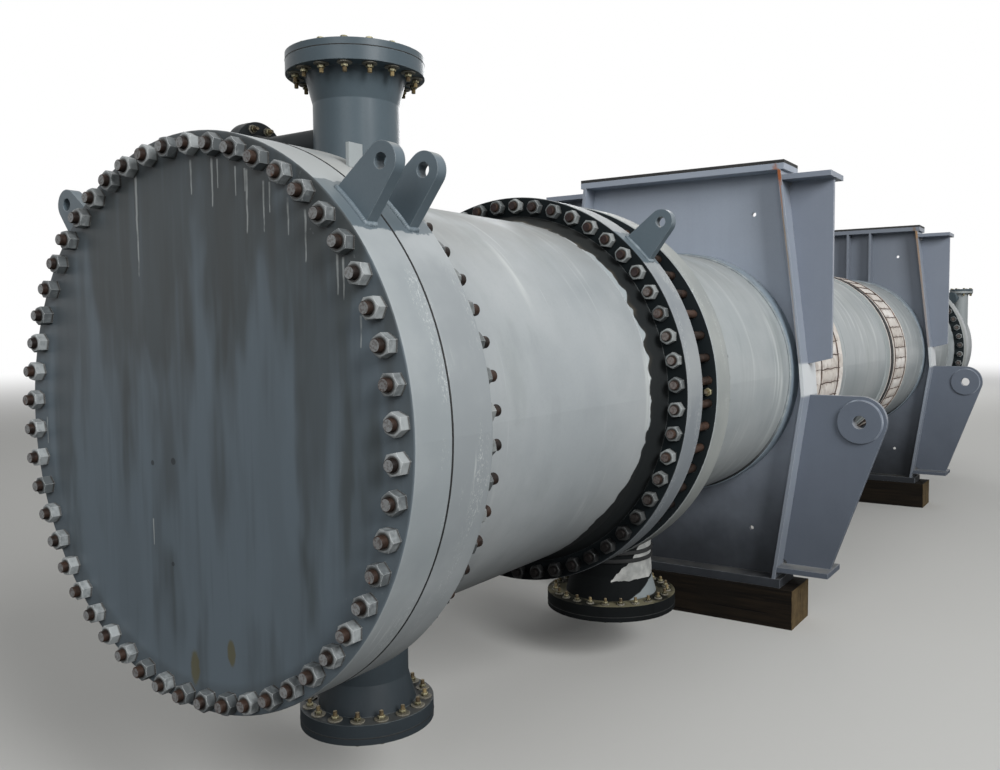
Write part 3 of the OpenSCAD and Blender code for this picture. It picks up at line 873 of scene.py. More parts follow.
@dataclass(frozen=True)
class ShellPaint(Paint):
    """Shell barrel: pale film with whitish smears running down the sides."""

    def features(self, w: Skin, fx: Effects, colour: Value) -> Value:
        """Add long whitish smears round the shell.

        Args:
            w: the material.
            fx: the shared shader groups.
            colour: the weathered film.

        Returns:
            The marked film.
        """
        smear = w.cloud(w.coords, (0.6, 8.5, 0.6), 4.0, 0.6).span(0.53, 0.68)
        patch = w.cloud(w.coords, 1.1, 3.0).span(0.42, 0.6)
        return barrel_marks(w, w.mix(smear * patch * 0.6, colour, "cdd2d0"))


@dataclass(frozen=True)
class UnderPaint(Paint):
    """Shell nozzle: near-black painted shade, painted light on its hub, cream dirt on its flange.
    """

    hub_low: float = 0.367
    lit_patch_tone: str = "8a9294"
    dirt_tone: str = "8f8a72"

    def features(self, w: Skin, fx: Effects, colour: Value) -> Value:
        """Add painted light on the right of the hub, and the dirt on the flange's upper face.

        Args:
            w: the material.
            fx: the shared shader groups.
            colour: the weathered film.

        Returns:
            The marked film.
        """
        z = w.split(w.coords)[2]
        normal = w.normal()
        # Painted light: a pale patch on the hub's faces that turn towards the light on the right.
        ragged = w.cloud(w.coords, 9.0) * 0.16 - 0.08
        across = normal[1] * 0.469 + normal[0] * 0.883 + ragged
        slope = across * 0.16 + (self.hub_low - 0.060)
        bare = 1 - (z - slope).span(-0.004, 0.004)
        bare = bare * z.span(self.hub_low - 0.001, self.hub_low + 0.003)
        colour = w.mix(bare * 0.85, colour, self.lit_patch_tone)
        patchy = w.cloud(w.coords, 5.0).span(0.42, 0.60)
        return w.mix(normal[2].span(0.9, 0.98) * patchy * 0.75, colour, self.dirt_tone)


@dataclass(frozen=True)
class SupportPaint(Paint):
    """Support plates: blue-grey film with rust at the top corners that runs down the edges."""

    rust_front: float = 0.0
    lit_middle: float = 0.0
    seam_x: float = 0.814
    seam_lean: float = -0.1206
    corner_up: float = 1.222
    far_shade: float = 0.0

    def features(self, w: Skin, fx: Effects, colour: Value) -> Value:
        """Add the rusty corner, the run down the seam and painted light on the side plates' middle.

        Args:
            w: the material.
            fx: the shared shader groups.
            colour: the weathered film.

        Returns:
            The marked film.
        """
        x, y, z = w.split(w.coords)
        up = z - VESSEL.axis_z
        far = y.above(0.0)
        aside = abs(x) - (up * self.seam_lean + self.seam_x)
        wander = w.cloud(w.coords, (20.0, 20.0, 3.0)) * 0.016 - 0.008
        reach = far * 0.012 + 0.0058
        line = 1 - abs(aside + wander).span(reach * 0.5, reach)
        line = line * up.window(0.06, 1.30, 0.02) * (up.span(0.2, 1.1) * 0.40 + 0.35)
        corner = w.length(aside, (up - self.corner_up) * 0.5)
        blot = (corner + w.cloud(w.coords, 30.0) * 0.05).span(0.062, 0.040)
        rust = w.effect(fx.rust, Coords=w.coords, Scale=45.0, Cover=1.0)["Colour"]
        vivid = w.mix(up.span(0.9, 1.2), w.mix(0.8, rust, "84714c"), w.mix(0.5, rust, "b5621f"))
        rust = w.mix(far, vivid, w.mix(0.5, rust, "b39a74"))
        front = w.normal()[1].span(-0.6, -0.9) * x.above(0.0)
        shown = w.math("MAXIMUM", line, blot) * front * self.rust_front
        colour = w.mix(shown, colour, rust)
        colour = w.mix(far * self.far_shade, colour, "2c3037")
        # Painted light: the middle of the side plates made pale where light falls on them.
        return w.mix(up.window(-0.135, 0.068, 0.01) * self.lit_middle, colour, "d3d7d8")


def shade_low_parts(w: Skin, colour: Value, amount: float) -> Value:
    """Paint shade on the parts of the girth joints that lie below the vessel's axis.

    Args:
        w: the material.
        colour: the film so far.
        amount: how dark the lowest parts get.

    Returns:
        The darkened film.
    """
    # Painted shade: darker towards the ground.
    height = w.split(w.coords)[2] + w.cloud(w.coords, 9.0, 3.0) * 0.12
    return w.mix(height.span(1.50, 1.02) * amount, colour, "0b0b0c")


@dataclass(frozen=True)
class FastenerPaint:
    """Paint on nuts: a tone for each nut, worn corners, rust, painted shade at the seat and hole.
    """

    name: str
    base: str
    pale: str
    crevice_shade: str = "2a2520"
    rust_cover: float = 0.3
    roughness: float = 0.45
    metallic: float = 0.0
    hole_r: float = 0.0195
    edge: str = "c6caca"
    low_shade: float = 0.0

    def build(self, fx: Effects) -> bpy.types.Material:
        """Build the material, which reads the local place and tone of each fastener.

        Args:
            fx: the shared shader groups.

        Returns:
            The new material.
        """
        w = Skin(self.name)
        beside, before, height = w.split(w.attribute("local", "Vector"))
        mottled = w.cloud(w.coords, 55.0) * 0.6 + w.attribute("tone") * 0.5
        colour = w.mix(mottled.span(0.35, 0.8), self.base, self.pale)
        rust = w.effect(fx.rust, Coords=w.coords, Scale=70.0, Cover=self.rust_cover)
        colour = w.mix(rust["Mask"], colour, rust["Colour"])
        # Painted shade: dark at each nut's seat and in a ring round its hole.
        seat_shade = 1 - height.span(0.003, 0.010)
        reach = w.length(beside, before) + w.cloud(w.coords, 90.0, 3.0) * 0.003
        ring = reach.span(self.hole_r * 1.44, self.hole_r * 1.24)
        colour = w.mix(w.math("MAXIMUM", seat_shade, ring) * 0.85, colour, self.crevice_shade)
        wear = w.effect(fx.edge_wear, Coords=w.coords, Radius=0.0026, Raggedness=0.4)
        colour = w.mix(wear["Mask"] * (1 - ring) * 0.7, colour, self.edge)
        # Painted shade towards the ground.
        colour = shade_low_parts(w, colour, self.low_shade)
        bump = {
            "Strength": 0.18,
            "Distance": 0.001,
            "Height": w.cloud(w.coords, 150.0, 3.0),
            "Normal": wear["Normal"],
        }
        rough = mottled * 0.3 + (self.roughness - 0.1)
        return w.finish(colour, rough, bump, metallic=self.metallic)


@dataclass(frozen=True)
class ThreadRust:
    """Stud metal: threaded rusty sides and an end face that is painted, bare or rusty."""

    name: str
    end: str
    end_rust: float = 0.35
    end_dark: str = "5f5c59"
    pitch: float = 0.0036
    side: str = "1b1614"
    side_pale: str = "382a23"
    top: str | None = None
    low_shade: float = 0.0
    gloss: float = 0.15

    def build(self, fx: Effects) -> bpy.types.Material:
        """Build the material, which tells side from end by a mark on the template's faces.

        Args:
            fx: the shared shader groups.

        Returns:
            The new material.
        """
        w = Skin(self.name)
        lot, capped = w.attribute("tone"), w.attribute("cap")
        rust = w.effect(fx.rust, Coords=w.coords, Scale=60.0, Cover=self.end_rust)
        mottled = (w.cloud(w.coords, 25.0) + lot * 0.3).span(0.45, 0.85)
        side = w.mix(mottled, self.side, self.side_pale)
        speckled = lot * 0.5 + w.cloud(w.coords, 130.0, 3.0).span(0.45, 0.6) * 0.5
        painted = w.mix(speckled, self.end, self.end_dark)
        rusty = w.mix(0.68, rust["Colour"], "45291f")
        face = w.mix(rust["Mask"] * lot.span(0.45, 0.8), painted, rusty)
        if self.top is not None:
            high = w.split(w.coords)[2].span(2.02, 2.14)
            face = w.mix(high * 0.85, face, self.top)
        height = w.split(w.attribute("local", "Vector"))[2]
        thread = w.math("SINE", height * (math.tau / self.pitch))
        bump = {"Strength": (1 - capped) * 0.4, "Distance": 0.0010, "Height": thread}
        # Painted shade towards the ground.
        colour = shade_low_parts(w, w.mix(capped, side, face), self.low_shade)
        return w.finish(colour, rust["Mask"] * 0.25 + 0.5, bump, self.gloss)


@dataclass(frozen=True)
class BeadPaint:
    """Painted weld metal with cross ripples."""

    name: str
    base: str
    pale: str
    pitch: float = 0.007
    low_shade: float = 0.0

    def build(self, fx: Effects) -> bpy.types.Material:
        """Build the material, which reads the length along each bead.

        Args:
            fx: the shared shader groups.

        Returns:
            The new material.
        """
        w = Skin(self.name)
        wavy = w.attribute("along") + w.cloud(w.coords, 40.0, 2.0) * 0.006
        ripple = w.math("SINE", wavy * (math.tau / self.pitch))
        height = ripple * 0.5 + w.cloud(w.coords, 120.0, 3.0)
        colour = w.mix(w.cloud(w.coords, 14.0).span(0.4, 0.7), self.base, self.pale)
        # Painted shade towards the ground.
        colour = shade_low_parts(w, colour, self.low_shade)
        bump = {"Strength": 0.6, "Distance": 0.0015, "Height": height}
        return w.finish(colour, height * 0.1 + 0.42, bump)


@dataclass(frozen=True)
class SawnTimber:
    """Weathered timber with grain along X, cracks and paler end grain."""

    name: str
    half_length: float = 0.8
    ring_rate: float = 420.0
    gloss: float = 0.12

    def build(self, fx: Effects) -> bpy.types.Material:
        """Build the material.

        Args:
            fx: the shared shader groups.

        Returns:
            The new material.
        """
        w = Skin(self.name)
        x, y, z = w.split(w.coords)
        grain = w.cloud(w.coords, (2.2, 42.0, 42.0), 6.0, 0.65)
        colour = w.mix(grain.span(0.3, 0.7), "0d0b09", "221c15")
        stain = w.cloud(w.coords, 3.0).span(0.45, 0.65)
        colour = w.mix(stain * 0.6, colour, "171410")
        heart = w.length(y * 2.0, z) + w.cloud(w.coords, 6.0, 3.0) * 0.05
        rings = w.math("SINE", heart * self.ring_rate)
        cut = (rings * 0.3 + w.cloud(w.coords, 18.0)).span(0.2, 0.85)
        end = abs(x).span(self.half_length - 0.004, self.half_length - 0.001)
        colour = w.mix(end, colour, w.mix(cut, "3d3325", "6b5b40"))
        crack = w.cloud(w.coords, (1.1, 26.0, 26.0), 3.0, 0.5, (3.0, 1.0, 2.0)).span(0.66, 0.70)
        colour = w.mix(crack * (1 - end), colour, "0a0807")
        bump = {"Strength": 0.7, "Distance": 0.004, "Height": grain - crack}
        return w.finish(colour, grain * 0.15 + 0.75, bump, self.gloss)


@dataclass(frozen=True)
class BlanketCloth:
    """Dusty woven blanket cloth, with a tone for each square and brown stains at the wires."""

    name: str
    base: str = "d3ccc4"
    pale: str = "efebe6"
    stain: str = "8c7c70"
    drawn: str = "9aa1a2"

    def build(self, fx: Effects) -> bpy.types.Material:
        """Build the material, where a seam below 0 marks cloth that is drawn onto the shell.

        Args:
            fx: the shared shader groups.

        Returns:
            The new material.
        """
        w = Skin(self.name)
        seam = w.attribute("seam")
        mottled = w.attribute("patch") * 0.4 + w.cloud(w.coords, 9.0, 5.0) * 0.7
        colour = w.mix(mottled.span(0.3, 0.8), self.base, self.pale)
        dirty = (w.cloud(w.coords, 16.0, 5.0) + seam * 0.25).span(0.55, 0.78)
        colour = w.mix(dirty * 0.5, colour, self.stain)
        colour = w.mix(seam.span(0.0, -0.5), colour, self.drawn)
        weave = w.cloud(w.coords, 420.0, 2.0) + w.cloud(w.coords, 60.0) * 0.7
        bump = {"Strength": 0.5, "Distance": 0.002, "Height": weave}
        return w.finish(colour, dirty * 0.1 + 0.85, bump)


@dataclass(frozen=True)
class DullSurface:
    """Dull dark stuff, such as gasket, strip or bare tubesheet edge, mottled with dust or rust."""

    name: str
    base: str
    pale: str
    rust_cover: float = 0.0
    scale: float = 20.0

    def build(self, fx: Effects) -> bpy.types.Material:
        """Build the material.

        Args:
            fx: the shared shader groups.

        Returns:
            The new material.
        """
        w = Skin(self.name)
        mottled = w.cloud(w.coords, self.scale, 5.0)
        colour = w.mix(mottled.span(0.4, 0.7), self.base, self.pale)
        rust = w.effect(fx.rust, Coords=w.coords, Scale=self.scale, Cover=self.rust_cover)
        colour = w.mix(rust["Mask"], colour, rust["Colour"])
        bump = {"Strength": 0.3, "Distance": 0.002, "Height": mottled}
        return w.finish(colour, mottled * 0.2 + 0.65, bump)


# Values that several finishes share: the barrels and flanges, the nozzles and the supports.
FADED = {"roughness": 0.45, "wear": 0.0}
JOINT = {"roughness": 0.5, "wear": 0.2, "dust": 0.1, "low_shade": 0.85}
PLATE = {"roughness": 0.42, "clouds": 0.3}
SMALL_NUT = {"hole_r": 0.0085}

FINISH_PLANS = (
    CoverPaint("cover_film", "484f53", "50595c", "3f4445", streaks=0.12, streak_width=5.0,
               specks=0.08, dust=0.2, gloss=0.25),
    FlangePaint("front_flange_film", "131516", "1d2021", "0c0e0f", roughness=0.42, wear=0.4,
                rim_base="8a9093"),
    ChannelPaint("channel_film", "999fa2", "b0b4b5", "848a8d", clouds=0.7, streaks=0.3,
                 streak_width=3.5, dust=0.7, dust_tone="8c8d8a", low_shade=0.75, gloss=0.2, **FADED),
    ShellPaint("shell_film", "989fa1", "b0b4b4", "81888a", clouds=0.6, dust=0.6,
               dust_tone="8f908d", low_shade=0.5, **FADED),
    FlangePaint("dark_flange_film", "161d20", "21292c", "101517", rim_base="8b908f",
                rim_pale="aaada9", gloss=0.2, **JOINT),
    FlangePaint("sprayed_flange_film", "0f1517", "1a2124", "0b0f10", rim_base="7e8489",
                rim_pale="a2a6a6", gloss=0.12, dark_hub=True, **JOINT),
    Paint("ring_film", "7d8b97", "98a5ae", "6a7782"),
    Paint("bonnet_film", "959c9e", "acb1b1", "7e8587", wear=0.3),
    Paint("nozzle_film", "48545b", "5a666d", "3a444a", roughness=0.42, streaks=0.3, wear=0.45,
          wear_tone="8d9698", low_shade=0.8, gloss=0.2),
    Paint("branch_film", "25292b", "33383b", "1c1f21", wear=0.3, wear_tone="6d7376", dust=0.2,
          gloss=0.25),
    # Shell nozzle: near-black film as painted shade, with a painted lit patch on its hub.
    UnderPaint("under_film", "0c0e0f", "181b1c", "060707", roughness=0.6, wear=0.12,
               wear_tone="4d5356", dust=0.5, dust_tone="6f6a52", gloss=0.1),
    Paint("lug_film", "5b6870", "6b777f", "4b565d", wear=0.6, wear_tone="a3adb2", **PLATE),
    SupportPaint("support_film", "97a0ad", "a8b0bc", "848c98", streaks=0.25, wear=0.6,
                 wear_tone="b0b7c0", rust_front=0.9, low_shade=0.95, gloss=0.3, far_shade=0.45,
                 **PLATE),
    SupportPaint("side_plate_film", "8c94a0", "a0a8b1", "79818c", streaks=0.25, wear=0.6,
                 wear_tone="bcc3ca", rust_front=0.95, lit_middle=0.8, low_shade=0.45, seam_x=0.828,
                 **PLATE),
    SupportPaint("wing_film", "7c8491", "8e96a2", "6c7480", streaks=0.2, wear=0.8,
                 wear_tone="c3c9d0", **PLATE),
    # Pad eyes: darker than the wings as painted shade, since they sit lower.
    Paint("pad_eye_film", "646c78", "757d8a", "555d68", streaks=0.2, wear=0.7,
          wear_tone="a9b1ba", low_shade=0.4, **PLATE),
    FastenerPaint("cover_nut_film", "555a5c", "999e9f", rust_cover=0.14),
    FastenerPaint("hub_nut_film", "4f5455", "898e8e", rust_cover=0.14, low_shade=0.93),
    FastenerPaint("brassy_nut_film", "5c563c", "a09a7a", rust_cover=0.2, roughness=0.4,
                  metallic=0.35, edge="d8d3b4", **SMALL_NUT),
    FastenerPaint("washer_film", "a9a48f", "d3cfbe", rust_cover=0.12, edge="dedbcc", **SMALL_NUT),
    ThreadRust("cover_stud_steel", end="8f9293", end_rust=0.34, end_dark="5a5452"),
    ThreadRust("gap_stud_steel", end="77726f", end_rust=0.25, end_dark="4b3f3c", side="251c17",
               side_pale="46362e", top="1d0d0f", low_shade=0.93),
    ThreadRust("small_stud_steel", end="a79a80", end_rust=0.3, side="4c4130",
               side_pale="8d7d5a"),
    BeadPaint("barrel_bead", "969c9f", "b0b4b5"),
    BeadPaint("ring_bead", "7f878b", "9aa1a4", low_shade=0.95),
    BeadPaint("lug_bead", "5b6870", "7f8b92"),
    BeadPaint("support_bead", "727a87", "98a0aa"),
    BeadPaint("nozzle_bead", "4b575e", "636f76"),
    SawnTimber("timber_grain"),
    BlanketCloth("blanket_cloth"),
    DullSurface("gap_steel", "121517", "202425", rust_cover=0.15),
    DullSurface("gasket_dull", "0a0b0b", "1a1c1c"),
    DullSurface("strip_rubber", "141516", "2a2a29", rust_cover=0.16, scale=5.0),
    DullSurface("wire_rust", "33241c", "5b4032", rust_cover=0.3, scale=60.0),
    DullSurface("torn_plastic", "8b8d8b", "b9bab7", scale=9.0),
    DullSurface("strap_black", "0e0f10", "1f2021", scale=12.0),
)


class Finishes:
    """Every material of the object, built once and kept by name."""

    def __init__(self, fx: Effects) -> None:
        """Build the materials."""
        self.by_name = {plan.name: plan.build(fx) for plan in FINISH_PLANS}

    def __getitem__(self, name: str) -> bpy.types.Material:
        """Return a material by its name."""
        return self.by_name[name]


# -------------------------------------------------------------- mesh helpers


# How far the middle of a gap line and of a seam lies under the surface, in metres.
LINE_SUNK = 0.0020
SEAM_SUNK = 0.002

# How many points what is round has.
STRAP_SIDES = 120
RING_POINTS = 180
SADDLE_POINTS = 72
DISC_POINTS = 64


def soften(mesh: bpy.types.Mesh, degrees: float) -> bpy.types.Mesh:
    """Shade a mesh smooth, with sharp edges where faces turn by more than the angle.

    Args:
        mesh: the mesh.
        degrees: the angle.

    Returns:
        The same mesh.
    """
    mesh.polygons.foreach_set("use_smooth", [True] * len(mesh.polygons))
    mesh.set_sharp_from_angle(angle=math.radians(degrees))
    return mesh


def put(
    name: str, mesh: bpy.types.Mesh, material: bpy.types.Material | None = None
) -> bpy.types.Object:
    """Place a mesh in the scene as an object at the origin.

    Args:
        name: name of the object and the mesh.
        mesh: the mesh.
        material: its material, or None to leave it as it is.

    Returns:
        The object.
    """
    mesh.name = name
    if material is not None:
        mesh.materials.clear()
        mesh.materials.append(material)
    piece = bpy.data.objects.new(name, mesh)
    bpy.context.scene.collection.objects.link(piece)
    return piece


def turn_outwards(mesh: bpy.types.Mesh, merge: bool) -> bpy.types.Mesh:
    """Turn a mesh's faces outwards.

    Args:
        mesh: the mesh.
        merge: whether points that lie on each other are merged first.

    Returns:
        The same mesh.
    """
    shape = bmesh.new()
    shape.from_mesh(mesh)
    if merge:
        bmesh.ops.remove_doubles(shape, verts=shape.verts, dist=1e-6)
    bmesh.ops.recalc_face_normals(shape, faces=shape.faces)
    shape.to_mesh(mesh)
    shape.free()
    return mesh


def mesh_of(
    name: str, points: Iterable[Sequence[float]], faces: Iterable[Sequence[int]]
) -> bpy.types.Mesh:
    """Make a mesh with its doubles merged and its faces turned outwards.

    Args:
        name: the mesh's name.
        points: its points.
        faces: numbers of the points round each face.

    Returns:
        The mesh.
    """
    mesh = bpy.data.meshes.new(name)
    mesh.from_pydata([tuple(p) for p in points], [], [tuple(f) for f in faces])
    return turn_outwards(mesh, merge=True)


def ring_faces(rings: Sequence[Sequence[int]]) -> list[tuple[int, ...]]:
    """Join equal closed rings of point numbers with four-sided faces.

    Args:
        rings: numbers of the points of each ring.

    Returns:
        The faces.
    """
    faces = []
    for low, high in zip(rings, rings[1:]):
        count = len(low)
        for i in range(count):
            faces.append((low[i], low[(i + 1) % count], high[(i + 1) % count], high[i]))
    return faces


def stacked(
    name: str, rings: Sequence[Sequence[Point]], close_start: bool, close_end: bool
) -> bpy.types.Mesh:
    """Make a body of stacked rings of points.

    Args:
        name: the mesh's name.
        rings: rings with the same number of points each.
        close_start: whether the first ring is filled.
        close_end: whether the last ring is filled.

    Returns:
        The mesh.
    """
    count = len(rings[0])
    points = [p for ring in rings for p in ring]
    numbers = [list(range(i * count, (i + 1) * count)) for i in range(len(rings))]
    faces: list[Sequence[int]] = list(ring_faces(numbers))
    if close_start:
        faces.append(numbers[0])
    if close_end:
        faces.append(numbers[-1])
    return mesh_of(name, points, faces)


def skinned(name: str, points: Sequence[Point], columns: int, levels: int) -> bpy.types.Mesh:
    """Make a closed thin sheet of two equal grids of points.

    Args:
        name: the mesh's name.
        points: points of the inner grid and then of the outer one, level by level.
        columns: faces along each level.
        levels: faces from the lowest level to the highest.

    Returns:
        The mesh.
    """
    wide = columns + 1
    skin = wide * (levels + 1)

    def at(layer: int, level: int, column: int) -> int:
        """Number of a point."""
        return layer * skin + level * wide + column

    def face(spots: Sequence[tuple[int, int, int]]) -> list[int]:
        """Numbers of the points round a face."""
        return [at(*spot) for spot in spots]

    faces = []
    for layer in (0, 1):
        for k in range(levels):
            for i in range(columns):
                square = ((k, i), (k, i + 1), (k + 1, i + 1), (k + 1, i))
                faces.append(face([(layer, *spot) for spot in square]))
    for k in (0, levels):
        for i in range(columns):
            faces.append(face([(0, k, i), (0, k, i + 1), (1, k, i + 1), (1, k, i)]))
    for i in (0, columns):
        for k in range(levels):
            faces.append(face([(0, k, i), (0, k + 1, i), (1, k + 1, i), (1, k, i)]))
    return soften(mesh_of(name, points, faces), 50)


def round_ring(
    radius: float | Sequence[float], z: float | Sequence[float], sides: int
) -> list[Point]:
    """Points round the Z axis.

    Args:
        radius: the circle's radius, or one for each point.
        z: the circle's height, or one for each point.
        sides: how many points.

    Returns:
        The points.
    """
    radii = [radius] * sides if isinstance(radius, float) else radius
    heights = [z] * sides if isinstance(z, float) else z
    turns = [math.tau * i / sides for i in range(sides)]
    return [(r * math.cos(t), r * math.sin(t), h) for r, t, h in zip(radii, turns, heights)]


def note_local(mesh: bpy.types.Mesh, cap_z: Sequence[float] = ()) -> bpy.types.Mesh:
    """Store what the shaders read from a template.

    Args:
        mesh: the template.
        cap_z: heights of its end faces.

    Returns:
        The mesh, with each point's place as "local" and a mark on its end faces as "cap".
    """
    local = mesh.attributes.new("local", "FLOAT_VECTOR", "POINT")
    local.data.foreach_set("vector", [c for v in mesh.vertices for c in v.co])
    caps = mesh.attributes.new("cap", "FLOAT", "FACE")
    caps.data.foreach_set("value", [
        float(abs(f.normal.z) > 0.9 and any(abs(f.center.z - z) < 1e-5 for z in cap_z))
        for f in mesh.polygons
    ])
    return mesh


@dataclass(frozen=True)
class Thread:
    """Sizes of one kind of stud and its heavy hexagon nut, in metres."""

    diameter: float
    across: float
    nut_height: float
    stand_out: float
    sides: int = 16
    nut_sides: int = 24
    chamfer: float = math.radians(30)

    def nut(self, is_head: bool = False) -> bpy.types.Mesh:
        """Make a hexagon nut on z = 0, with the curved edges that its chamfer leaves.

        Args:
            is_head: whether it is a closed bolt head.

        Returns:
            The mesh.
        """
        flat, hole = self.across / 2, self.diameter / 2
        top, top_z, sides = flat * 0.95, self.nut_height, self.nut_sides
        turns = [math.radians((i * 360 / sides + 30) % 60 - 30) for i in range(sides)]
        corner = [flat / math.cos(turn) for turn in turns]
        slope = [top_z - (r - top) * math.tan(self.chamfer) for r in corner]
        rings = [
            round_ring(corner, 0.0, sides),
            round_ring(corner, slope, sides),
            round_ring(top, top_z, sides),
        ]
        if not is_head:
            rings.append(round_ring(hole * 1.07, top_z, sides))
            rings.append(round_ring(hole * 0.99, top_z - hole * 0.08, sides))
        return note_local(soften(stacked("nut", rings, True, is_head), 22))

    def stud(self, low: float, high: float) -> bpy.types.Mesh:
        """Make a stud with both ends chamfered, from low to high.

        Args:
            low: where it starts.
            high: where it ends.

        Returns:
            The mesh.
        """
        r, cut = self.diameter / 2, self.diameter * 0.06
        section = ((r - cut, low), (r, low + cut), (r, high - cut), (r - cut, high))
        rings = [round_ring(radius, z, self.sides) for radius, z in section]
        return note_local(soften(stacked("stud", rings, True, True), 30), (low, high))

    def washer(self, outer: float, thickness: float) -> bpy.types.Mesh:
        """Make a flat washer on z = 0.

        Args:
            outer: its radius.
            thickness: its thickness.

        Returns:
            The mesh.
        """
        inner = self.diameter * 0.52
        section = ((inner, 0.0), (outer, 0.0), (outer, thickness), (inner, thickness), (inner, 0.0))
        rings = [round_ring(radius, z, self.nut_sides) for radius, z in section]
        return note_local(soften(stacked("washer", rings, False, False), 30))


# ---------------------------------------------------------- geometry growers


class Growers:
    """Geometry Nodes trees that repeat fasteners round a ring and sweep beads along paths."""

    def __init__(self) -> None:
        """Build the trees."""
        self.ring = self._ring()
        self.bead = self._bead()

    @staticmethod
    def _close(w: Group, grown: Value) -> bpy.types.NodeTree:
        """Set the material on what a tree has grown, and end the tree."""
        feeds = {"Geometry": grown, "Material": w.given["Material"]}
        return w.close(Geometry=w.take("GeometryNodeSetMaterial", feeds))

    @classmethod
    def _ring(cls) -> bpy.types.NodeTree:
        """Copies of the object's own mesh on a ring, each with its own spin, lift and tone.

        Returns:
            The tree.
        """
        w = Group(
            "fastener_ring",
            "Geometry",
            {"Template": "Geometry", "Count": 12, "Radius": 0.1, "First turn": 0.0, "Spin": 0.0,
             "Lift": 0.0, "Centre": "Vector", "Facing": "Vector", "Seed": 1,
             "Material": "Material"},
            {"Geometry": "Geometry"},
        )
        template, count, radius, first, most_spin, most_lift, centre, facing, seed, _ = (
            w.given.values()
        )

        def chance(high: object, number: int) -> Value:
            """Draw a number from 0 to high for each copy."""
            feeds = {"Min": 0.0, "Max": high, "Seed": seed + number}
            return w.take("FunctionNodeRandomValue", feeds, "Value", data_type="FLOAT")

        circle = w.take("GeometryNodeMeshCircle", {"Vertices": count, "Radius": radius})
        feeds = {"Geometry": circle, "Rotation": w.join(0.0, 0.0, first)}
        turned = w.take("GeometryNodeTransform", feeds)
        spin = w.take("FunctionNodeEulerToRotation", {0: w.join(0.0, 0.0, chance(most_spin, 3))})
        feeds = {"Points": turned, "Instance": template, "Rotation": spin}
        placed = w.take("GeometryNodeInstanceOnPoints", feeds)
        feeds = {"Instances": placed, "Translation": w.join(0.0, 0.0, chance(most_lift, 11))}
        lifted = w.take("GeometryNodeTranslateInstances", feeds)
        feeds = {"Geometry": lifted, "Name": "tone", "Value": chance(1.0, 29)}
        toned = w.take(
            "GeometryNodeStoreNamedAttribute", feeds, data_type="FLOAT", domain="INSTANCE"
        )
        whole = w.take("GeometryNodeRealizeInstances", {"Geometry": toned})
        feeds = {"Geometry": whole, "Translation": centre, "Rotation": facing}
        return cls._close(w, w.take("GeometryNodeTransform", feeds))

    @classmethod
    def _bead(cls) -> bpy.types.NodeTree:
        """A round bead or wire along the object's own edges, with a wandering thickness.

        Returns:
            The tree.
        """
        w = Group(
            "swept_bead",
            "Geometry",
            {"Paths": "Geometry", "Radius": 0.005, "Step": 0.01, "Wander": 0.2, "Sides": 6,
             "Seed": 1, "Material": "Material"},
            {"Geometry": "Geometry"},
        )
        paths, radius, step, wander, sides, seed, _ = w.given.values()
        curve = w.take("GeometryNodeMeshToCurve", {"Mesh": paths})
        feeds = {"Curve": curve, "Length": step}
        even = w.take("GeometryNodeResampleCurve", feeds, mode="LENGTH")
        length = w.take("GeometryNodeSplineParameter", out="Length")
        feeds = {"Geometry": even, "Name": "along", "Value": length}
        marked = w.take(
            "GeometryNodeStoreNamedAttribute", feeds, data_type="FLOAT", domain="POINT"
        )
        place = w.take("GeometryNodeInputPosition")
        feeds = {"Vector": place, "Scale": 45.0, "Detail": 2.0, "W": seed}
        rough = w.take("ShaderNodeTexNoise", feeds, noise_dimensions="4D")
        swell = (rough - 0.5) * (wander * 4.0) + 1.0
        sized = w.take("GeometryNodeSetCurveRadius", {"Curve": marked, "Radius": swell})
        feeds = {"Resolution": sides, "Radius": radius}
        profile = w.take("GeometryNodeCurvePrimitiveCircle", feeds)
        feeds = {"Curve": sized, "Profile Curve": profile, "Fill Caps": True}
        swept = w.take("GeometryNodeCurveToMesh", feeds)
        smooth = w.take("GeometryNodeSetShadeSmooth", {"Geometry": swept})
        return cls._close(w, w.take("GeometryNodeRealizeInstances", {"Geometry": smooth}))


def grow(
    piece: bpy.types.Object, tree: bpy.types.NodeTree, **values: object
) -> bpy.types.Object:
    """Run a Geometry Nodes tree on a piece and keep the result as its plain mesh.

    Args:
        piece: the object whose mesh the tree starts from.
        tree: the tree.
        values: the tree's inputs, with underscores read as spaces.

    Returns:
        The same object with its new mesh and no modifier.
    """
    modifier = piece.modifiers.new("growth", "NODES")
    modifier.node_group = tree
    named = {key.replace("_", " "): value for key, value in values.items()}
    for item in tree.interface.items_tree:
        if item.item_type == "SOCKET" and item.in_out == "INPUT" and item.name in named:
            modifier[item.identifier] = named[item.name]
    graph = bpy.context.evaluated_depsgraph_get()
    mesh = bpy.data.meshes.new_from_object(piece.evaluated_get(graph), depsgraph=graph)
    old = piece.data
    piece.modifiers.remove(modifier)
    piece.data = mesh
    bpy.data.meshes.remove(old)
    mesh.name = piece.name
    return piece


